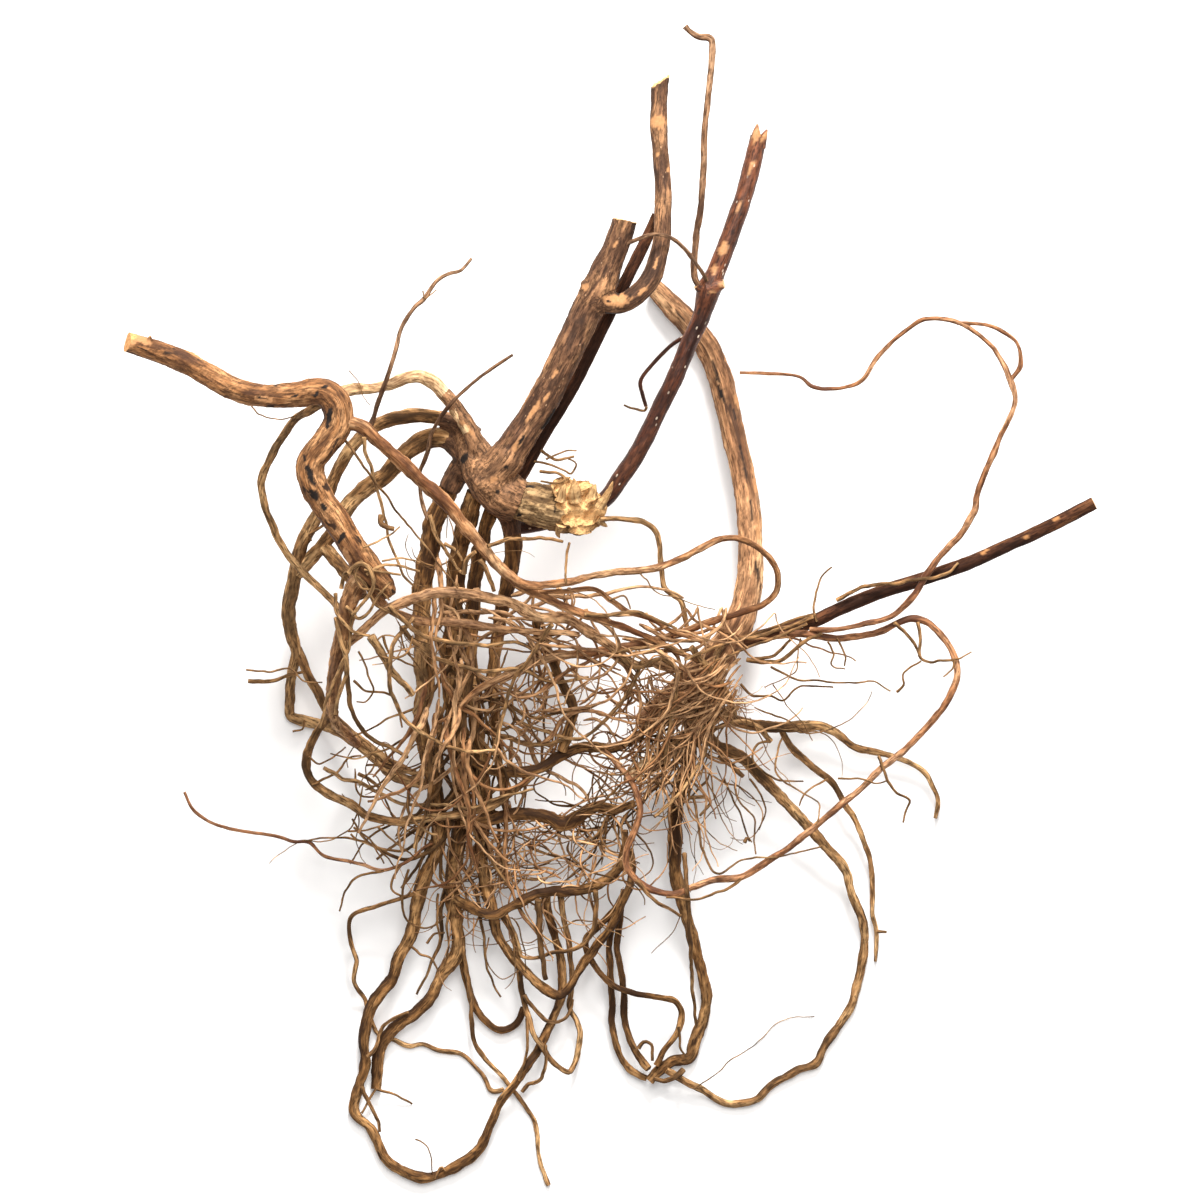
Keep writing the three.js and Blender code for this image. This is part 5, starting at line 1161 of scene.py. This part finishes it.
ROOTLETS = {
    "left": (0.5, [
        [0.3, (-115, 64.5), (-113.5, 62), (-110, 60.5), (-105, 60), (-101, 61), (-98, 63.5)],
        [0.2, (-83.2, 76), (-80, 72), (-79, 68.5), (-76, 64.5)],
        [0.5, (-92, 25), (-97, 22), (-96, 20)],
        [0.8, (-118, -27), (-110, -27), (-104, -25), (-99, -24)],
        [0.4, (-118, -23), (-110, -24), (-103, -23), (-98, -27), (-92, -27.5)],
        [0.4, (-103, -44), (-100, -43), (-99, -40)],
        [0.4, (-80, -17), (-77, -24), (-75, -30), (-78, -34), (-81, -34)],
        [0.5, (-82, -27), (-78, -30), (-71, -31), (-68, -34), (-66, -42)],
        [0.4, (-97, -52), (-94, -55), (-90, -53), (-85, -49)],
        [0.5, (-96, -62), (-92, -60), (-88, -58), (-84, -53), (-80, -52)],
        [0.7, (-81, -58), (-76, -61), (-73, -64)],
        [0.4, (-84, -77), (-78, -77), (-72, -75)],
        [0.4, (-82, -76), (-76, -81), (-72, -85), (-68, -90)],
        [0.4, (-83, -78), (-81, -80), (-76, -82), (-72, -88)],
        [0.4, (-74, -76), (-68, -81), (-62, -86)],
        [0.5, (-66, -89), (-69, -93), (-69, -97), (-65, -99), (-63, -97)],
        [0.5, (-72, -90.5), (-80, -92), (-85, -97), (-87, -104)],
    ]),
    "left_light": (0.9, [
        [0.7, (-78, 54), (-77.5, 49), (-76, 45), (-74.5, 38), (-72.5, 32), (-71.5, 27), (-70, 20), (-67, 13),
         (-65, 8), (-62, 5)],
        [0.8, (-57, 28), (-55, 22), (-51, 16), (-46, 9)],
        [0.7, (-52, 19), (-48, 17), (-46, 13)],
        [0.4, (-78, 17), (-72, 20), (-66, 24)],
        [0.4, (-72, 13), (-66, 14), (-60, 12.5)],
        [0.6, (-77, 8.5), (-72, 11.5), (-66, 11), (-60, 9.7)],
        [1.6, (-76, -12), (-72, -19), (-67, -26), (-62, -31)],
        # Painted highlight: this thick pale rootlet stands for a bright streak of light along the bundle.
        [2.6, (-59, -14), (-60, -22), (-59, -32), (-61, -38)],
        [0.8, (-92, -56), (-88, -58), (-86, -60), (-80, -61), (-74, -64), (-66, -68), (-58, -68), (-52, -68),
         (-44, -69.5), (-36, -67), (-30, -65), (-22, -63)],
    ]),
    "left_dark": (0.08, [
        [0.5, (-84.5, 53), (-82, 50), (-78.5, 45), (-75, 40), (-71, 35), (-68.5, 31), (-62, 23), (-57, 17),
         (-52, 10), (-47, 4)],
        [1.2, (-72, 28), (-72.4, 25.4), (-70.5, 24.6), (-68, 24)],
        [0.5, (-72, -12), (-70, -17), (-66, -20), (-61, -22)],
        [1.0, (-85, -14), (-84, -24), (-83, -33), (-81, -40), (-76, -46), (-70, -49), (-64, -52)],
        [0.5, (-64, -90), (-66, -98), (-66, -103), (-64, -107.5), (-58, -109.5), (-52, -106)],
        [0.5, (-58, -115), (-56, -112), (-52, -111)],
        [0.5, (15.3, 64.5), (14.6, 63.2), (10, 64), (8, 65)],
    ]),
    "knot": (0.8, [
        [0.93, (-83, 9), (-80, 12), (-76, 10), (-75, 5), (-78, 0), (-82, -5)],
        [0.81, (-86, 4), (-84, 9), (-80, 8), (-77, 3), (-74, -2), (-68, -4)],
        [0.68, (-84, -2), (-80, -6), (-76, -4), (-74, 1), (-70, 6)],
        [0.93, (-87, -6), (-86, -14), (-84, -22), (-86, -30), (-88, -38)],
        [0.74, (-82, -4), (-83, -14), (-87, -24), (-91, -34), (-93, -42)],
        [0.56, (-78, 10), (-72, 9.6), (-66, 8.5)],
        [0.74, (-88, 2), (-87, -4), (-82, -10), (-76, -12)],
        [0.5, (-79, 13), (-81, 8), (-79, 4), (-74, 3.5), (-70, 0)],
    ]),
    "crown": (0.6, [
        [0.6, (-20, 50), (-15, 47), (-9, 48)],
        [0.6, (-20, 43), (-14, 42), (-12, 40), (-15, 39), (-20, 39.5)],
        [0.45, (-22, 46), (-16, 45), (-10, 42.5), (-8, 45.5), (-10.5, 47)],
        [0.4, (-18, 47), (-13, 49.5), (-8, 50)],
        [0.8, (-37, 17.5), (-30, 20), (-22, 20.5), (-12, 19.5)],
        [0.5, (-10, 19), (-11.5, 8), (-11, 6)],
        [1.0, (-45, 9), (-44, 13), (-41, 16)],
        [1.0, (-40, 13), (-37, 8), (-35, 3)],
        [0.3, (-58.5, 102.5), (-58, 100), (-54, 103)],
    ]),
    "middle": (0.65, [
        [0.8, (-5, -5), (5, -4.5), (12, -4), (18, -6), (26, -9.5)],
        [0.4, (3, 0), (8, 1), (10, -3)],
        [0.8, (4, -18), (12, -16), (20, -15.5), (28, -17)],
        [1.0, (6, -18), (12, -22), (20, -20), (26, -23)],
        [0.3, (13, 9), (16, 6), (17, 4), (20, 2), (24, 1), (30, -1), (38, -3)],
        [0.8, (-40, -34), (-33, -33), (-27, -37), (-22, -39), (-15, -38), (-5, -36), (0, -34)],
        [1.0, (-38, -44), (-30, -46), (-24, -48), (-17, -48), (-12, -46)],
        [0.9, (-70, -2), (-60, -11), (-50, -14), (-38, -15), (-28, -14), (-20, -18)],
        [0.9, (-66, -9), (-57, -18), (-48, -21), (-38, -24), (-27, -23), (-16, -27), (-4, -26)],
        [0.8, (-16, -8), (-22, -17), (-30, -30), (-33, -42), (-38, -56)],
        [0.9, (-62, -6), (-68, -14), (-70, -26), (-66, -38), (-56, -46), (-46, -50), (-34, -50)],
        [0.8, (14, -20), (10, -30), (2, -40), (-6, -46), (-18, -44), (-28, -40)],
    ]),
    "clump": (0.8, [
        [0.8, (26, -24), (25, -33), (23, -43), (22, -52), (21, -60), (19, -68)],
        [1.0, (57, -47), (52, -42), (46, -41), (38, -43), (34, -52), (30, -60), (24, -67), (18, -72)],
        [1.2, (30, -16), (36, -22), (42, -30), (45, -38)],
        [1.2, (41, -15), (38, -22), (41, -30), (44, -36)],
        [0.8, (44, -37), (36, -42), (27, -46), (18, -53), (12, -60)],
        [0.8, (46, -36), (38, -38), (28, -41), (16, -43), (8, -49)],
        [0.7, (30, -66), (35, -66), (37, -68), (35, -70), (33, -72)],
    ]),
    "clump_dark": (0.1, [
        [0.5, (31, -66), (33, -75), (34, -82), (36, -88), (40, -91), (46, -87), (54, -86), (62, -85),
         (74, -82)],
        [0.4, (42, -60), (44, -66), (47, -72), (49, -78), (51, -81)],
        [0.4, (45, -62), (47, -68), (51, -73), (51.5, -81), (52, -85)],
        [0.4, (50, -60), (53, -64), (55.5, -70), (53, -77)],
        [0.9, (28, -85), (29, -95), (30, -118), (31, -130), (32, -142)],
        [1.2, (40, -52), (44, -55), (48, -59)],
        [0.7, (48, -81), (49, -79.5), (50, -80.5)],
        [0.5, (47, -28), (51, -32), (57, -32), (61, -33.5), (67, -28.8), (78, -29)],
    ]),
    "right": (0.55, [
        [0.9, (49, -20), (54, -21), (60, -20), (65, -17), (70, -13), (74, -11)],
        [0.7, (51, -20), (57, -19), (61, -16), (64, -13)],
        [0.8, (71, -5.5), (65, -8), (60, -9.6), (50, -12.5), (40, -15), (28, -20)],
        [0.6, (69, -8), (64, -10), (54, -14), (44, -18), (34, -22)],
        [0.6, (72, -4.6), (64, -6.6), (55, -10.6), (46, -12.5)],
        [0.4, (76, -14), (78, -18), (77, -21), (79, -22.5), (82, -23)],
        [0.4, (79, -13), (82, -18), (82, -22)],
        [0.45, (57, -22), (63, -25), (68, -27), (83, -27.5), (91, -27), (97, -30.5)],
        [0.7, (98, -7.6), (102, -11), (105, -15), (107, -19)],
        [0.7, (106, -7.4), (107, -13), (107, -19), (110, -20.5), (118, -20)],
        [0.3, (67, -13), (66, -20), (65, -24), (55, -29)],
        [0.25, (58, -28), (62, -34), (67, -41), (71, -47)],
        [0.5, (57, -47.5), (53, -48), (51, -53), (54, -57), (59, -60), (68, -60.5)],
        [0.4, (61, -46), (59, -50), (58.5, -57), (62, -61), (66, -63), (73, -68), (72, -75)],
        [0.4, (79, -59.5), (85, -59), (92, -61), (96, -60)],
        [0.6, (93, -52), (95, -57), (96, -60), (100, -65), (103, -67), (101, -74)],
        [0.8, (79, 0), (84, 3), (87, 4.5), (95, 5.2), (105, 6.5), (112, 8), (117, 10), (119.5, 12.5)],
        [0.5, (72.4, -7.4), (71.5, -4), (71.5, 0), (73, 5), (75, 8.5), (77, 10.5)],
        [0.6, (92.5, -111), (96, -111)],
    ]),
    "right_tips": (0.5, [
        [0.5, (99, -30.5), (101, -28), (101.5, -24), (107, -20)],
        [0.4, (118, -20), (117.6, -22.4), (114, -25.5)],
        [0.4, (118, -20), (120.5, -19.4), (124, -17)],
        [0.4, (76, -60), (71, -62), (68, -65), (66.5, -68.5)],
    ]),
    "below": (0.45, [
        [0.8, (12, -93), (16, -98), (20, -101), (27, -105.5)],
        [0.6, (47, -93), (43, -96), (36, -98.5), (30, -99.5), (22, -98.7)],
        [0.9, (-1.5, -97), (-1.5, -107), (-3, -112), (-8, -116), (-15, -117.5), (-21, -119.5), (-26, -119),
         (-28, -113), (-31, -105)],
        [0.5, (-63, -116), (-60, -119), (-56, -120), (-54, -124)],
        [0.5, (-50, -100), (-51, -108), (-50.5, -115), (-52, -122)],
        [0.5, (-54, -98), (-54.5, -106), (-53.5, -113), (-55, -119)],
        [0.5, (-75, -164), (-68, -166), (-63, -169)],
        [0.5, (-75, -164), (-80, -172)],
        [0.8, (-78, -153), (-75, -149), (-73, -143), (-68, -139.5), (-64, -138)],
        [0.8, (-79.5, -163), (-77, -169), (-74, -175), (-74, -178)],
        [0.3, (-62, -180.5), (-58, -183), (-56, -192)],
        [0.5, (-55, -194), (-53, -189.5), (-51.5, -191)],
        [0.8, (-26, -165), (-24, -162), (-20, -160), (-18, -155), (-18.5, -149)],
        [0.8, (-25, -132), (-21, -138), (-16, -141), (-11, -139.5), (-9, -134)],
        [0.6, (-25, -140), (-24.5, -150), (-27, -161)],
        [0.25, (-37, -113), (-38, -121), (-33, -127), (-27, -124)],
        [0.2, (27, -105), (24, -111), (17, -118)],
        [0.25, (27, -161), (31, -163.5), (36, -161), (43, -155), (53, -148), (60, -141), (72, -139)],
    ]),
    "below_dark": (0.05, [
        [1.3, (-20.5, -100), (-20, -110), (-19.5, -118), (-18, -127)],
        [1.1, (28, -157), (25, -160), (22, -161), (18, -160)],
        [0.5, (26.5, -143), (27, -150), (29, -153)],
        [0.8, (13, -150), (15, -148), (17, -149), (17.5, -154)],
    ]),
}
LOOK = dict(sides=7, step=0.8, wander=2.4, bends=120, knobs=0.5, lumps=0.5, furrows=0.3, fibre=0.0)
for n, (name, (tint, lines)) in enumerate(ROOTLETS.items()):
    laid_over = []
    for girth, *places in lines:
        tips = [girth * (1 - 0.45 * k / len(places)) for k in range(len(places))]
        laid_over.append(drape([(x, y, r) for (x, y), r in zip(places, tips)]))
    root("rootlets_" + name, "bark_brown", (), laid_over, bark_arch, seed=60 + n,
         tints=[tint] * len(lines), **LOOK)
    LAID = settle()

# ---------------------------------------------------------------------------
# Fine mat: the thin feeding roots that fill the tangle, matted where the
# bundle and the clump meet and loose round the edges. Grown by chance.
# ---------------------------------------------------------------------------
def wander_line(rng, x, y, heading, length, turn, girth, top, step=2.4):
    """A thin root that sets off from x, y and keeps turning a little, but not past top."""
    line = [(x, y, girth * 0.45)]
    bend = rng.gauss(0, turn)
    for k in range(int(length / step)):
        bend = 0.86 * bend + rng.gauss(0, turn * 0.7)
        heading += bend
        if y + step * math.sin(heading) > top:
            heading = -heading
        x += step * math.cos(heading)
        y += step * math.sin(heading)
        line.append((x, y, girth * (1 - 0.65 * (k + 1) * step / length)))
    return line


MATS = {
    # name: seed, tint, then for each patch: middle, half sizes, count, heading and its spread in degrees,
    # length, turn, girth, depth from and to
    "middle": (71, 0.92, [
        [(-38, -8), (26, 10), 16, -8, 14, 70, 0.1, 0.75, 0.7, 1.0],
        [(0, -12), (30, 7), 20, -12, 12, 60, 0.1, 0.7, 0.7, 1.0],
        [(-20, -30), (24, 18), 9, -90, 70, 50, 0.2, 0.5, 0.5, 1.0],
        [(-10, -44), (30, 13), 13, 5, 50, 44, 0.2, 0.46, 0.6, 1.0],
        [(-14, -42), (24, 14), 16, 0, 180, 30, 0.3, 0.26, 0.5, 1.0],
        [(-28, -34), (20, 16), 16, 0, 30, 40, 0.16, 0.75, 0.6, 1.0],
    ]),
    # Painted shade: the hairs lying deep in the middle of the tangle get a dark tint.
    "middle_deep_shaded": (72, 0.1, [
        [(-34, -40), (18, 26), 14, -90, 40, 50, 0.16, 0.55, 0.25, 0.8],
        [(-49, -40), (9, 46), 34, -90, 10, 62, 0.07, 0.9, 0.3, 0.8],
        [(-20, -84), (24, 10), 14, -30, 80, 40, 0.2, 0.45, 0.3, 0.8],
    ]),
    "lower": (73, 0.9, [
        [(-14, -85), (28, 12), 70, -150, 60, 40, 0.18, 0.38, 0.6, 1.0],
        [(-40, -86), (13, 14), 18, -100, 40, 34, 0.2, 0.4, 0.5, 1.0],
        [(-46, -100), (11, 7), 10, -90, 30, 26, 0.2, 0.34, 0.5, 1.0],
    ]),
    "bundle": (74, 0.7, [
        [(-50, -24), (9, 50), 18, -90, 7, 66, 0.06, 0.95, 0.7, 0.98],
        [(-40, -60), (11, 28), 18, -90, 12, 54, 0.1, 0.7, 0.7, 1.0],
    ]),
    "clump": (75, 0.9, [
        [(41, -25), (8, 8), 70, -134, 12, 44, 0.08, 0.5, 0.86, 1.03],
        [(31, -36), (12, 9), 50, -142, 22, 36, 0.12, 0.44, 0.8, 1.0],
        [(20, -54), (11, 9), 30, -120, 40, 36, 0.18, 0.42, 0.7, 1.0],
        [(46, -35), (4, 4), 56, -20, 180, 9, 0.5, 0.13, 0.9, 1.1],
    ]),
    # Painted shade: the hairs lying deep under the clump get a dark tint.
    "clump_deep_shaded": (76, 0.2, [
        [(30, -38), (12, 11), 22, -124, 30, 30, 0.14, 0.55, 0.4, 0.85],
        [(30, -56), (10, 8), 18, -100, 26, 36, 0.16, 0.46, 0.3, 0.9],
    ]),
    "fringe": (77, 0.4, [
        [(48, -38), (4, 5), 6, -30, 30, 44, 0.14, 0.28, 0.7, 1.0],
        [(42, -58), (8, 4), 6, -80, 20, 38, 0.18, 0.26, 0.4, 0.9],
        [(-80, -60), (10, 10), 10, -50, 50, 40, 0.2, 0.34, 0.5, 1.0],
        [(-64, -16), (5, 20), 9, -60, 40, 40, 0.2, 0.34, 0.5, 1.0],
        [(-58, 16), (10, 10), 6, -80, 24, 40, 0.14, 0.3, 0.4, 1.0],
        [(-30, -108), (20, 6), 8, -70, 40, 24, 0.2, 0.26, 0.5, 1.0],
        [(4, -64), (9, 10), 24, -100, 50, 36, 0.22, 0.4, 0.6, 1.0],
    ]),
}
LOOK = dict(sides=5, step=1.1, wander=3.6, bends=90, knobs=0.5, lumps=0.3, furrows=0.0, fibre=0.0)
for name, (seed, tint, patches) in MATS.items():
    rng = random.Random(seed)
    hairs, shades = [], []
    for middle, half, count, heading, spread, length, turn, girth, low, high in patches:
        for _ in range(count):
            angle, out = rng.uniform(0, 2 * math.pi), math.sqrt(rng.random())
            x = middle[0] + half[0] * out * math.cos(angle)
            y = middle[1] + half[1] * out * math.sin(angle)
            way = math.radians(heading + rng.gauss(0, spread))
            line = wander_line(rng, x, y, way, length * rng.uniform(0.4, 1.2), turn,
                               girth * rng.uniform(0.6, 1.4), middle[1] + half[1] + 3)
            hairs.append(drape(line, pull=16, depth=rng.uniform(low, high), reach=2.0))
            shades.append(min(1.0, max(0.0, tint + rng.gauss(0, 0.3))))
    root("mat_" + name, "bark_brown", (), hairs, bark_orange if tint > 0.6 else bark_arch, seed=seed,
         tints=shades, **LOOK)

# ---------------------------------------------------------------------------
# Floor, light and camera: a near-white sweep under a large soft overhead
# light, a soft key from the far side, and a long lens looking straight down.
# ---------------------------------------------------------------------------
paper, tree, skin = shade("paper")
where = tree.nodes.new("ShaderNodeTexCoord")
grains = tree.nodes.new("ShaderNodeTexNoise")
grains.inputs["Scale"].default_value = 3.3
tree.links.new(where.outputs["Object"], grains.inputs["Vector"])
tones = tree.nodes.new("ShaderNodeValToRGB")
tones.color_ramp.elements[0].color = (0.74, 0.735, 0.735, 1)
tones.color_ramp.elements[1].color = (0.77, 0.765, 0.765, 1)
tree.links.new(grains.outputs["Fac"], tones.inputs["Fac"])
tree.links.new(tones.outputs["Color"], skin.inputs["Base Color"])
skin.inputs["Roughness"].default_value = 0.9
skin.inputs["Specular IOR Level"].default_value = 0.1
skin.inputs["Emission Color"].default_value = (1.0, 0.99, 0.985, 1)
skin.inputs["Emission Strength"].default_value = 0.2
bpy.ops.mesh.primitive_plane_add(size=12, location=(0, 0, 0))
sweep = bpy.context.object
sweep.name = "floor"
sweep.data.materials.append(paper)

world = bpy.data.worlds.new("studio")
world.use_nodes = True
world.node_tree.nodes["Background"].inputs["Color"].default_value = (1, 0.99, 0.98, 1)
world.node_tree.nodes["Background"].inputs["Strength"].default_value = 0.34
bpy.context.scene.world = world


def lamp(name, place, size, power, colour=(1, 1, 1)):
    light = bpy.data.lights.new(name, "AREA")
    light.shape = "SQUARE"
    light.size = size
    light.energy = power
    light.color = colour
    obj = bpy.data.objects.new(name, light)
    obj.location = place
    obj.rotation_euler = (-Vector(place)).to_track_quat("-Z", "Y").to_euler()
    bpy.context.scene.collection.objects.link(obj)
    obj.visible_camera = False


lamp("overhead", (0.1, 0.55, 1.6), 1.0, 26, (1.0, 0.985, 0.965))
lamp("key", (0.15, 1.5, 1.1), 0.4, 58, (1.0, 0.98, 0.95))

LENS, FILM = 600, 36  # focal length and width of the film, in millimetres
VIEW_WIDTH, VIEW_HEIGHT = 0.4, 0.035  # metres across that the camera takes in, and how high above the floor
camera = bpy.data.objects.new("camera", bpy.data.cameras.new("camera"))
camera.data.lens = LENS
camera.data.sensor_width = FILM
camera.data.clip_end = 20
away = VIEW_WIDTH * LENS / FILM
camera.location = (-PLAN_CENTRE[0] / 1000, -PLAN_CENTRE[1] / 1000, VIEW_HEIGHT + away)
bpy.context.scene.collection.objects.link(camera)
bpy.context.scene.camera = camera
scene = bpy.context.scene
scene.view_settings.view_transform = "Standard"
scene.view_settings.look = "None"
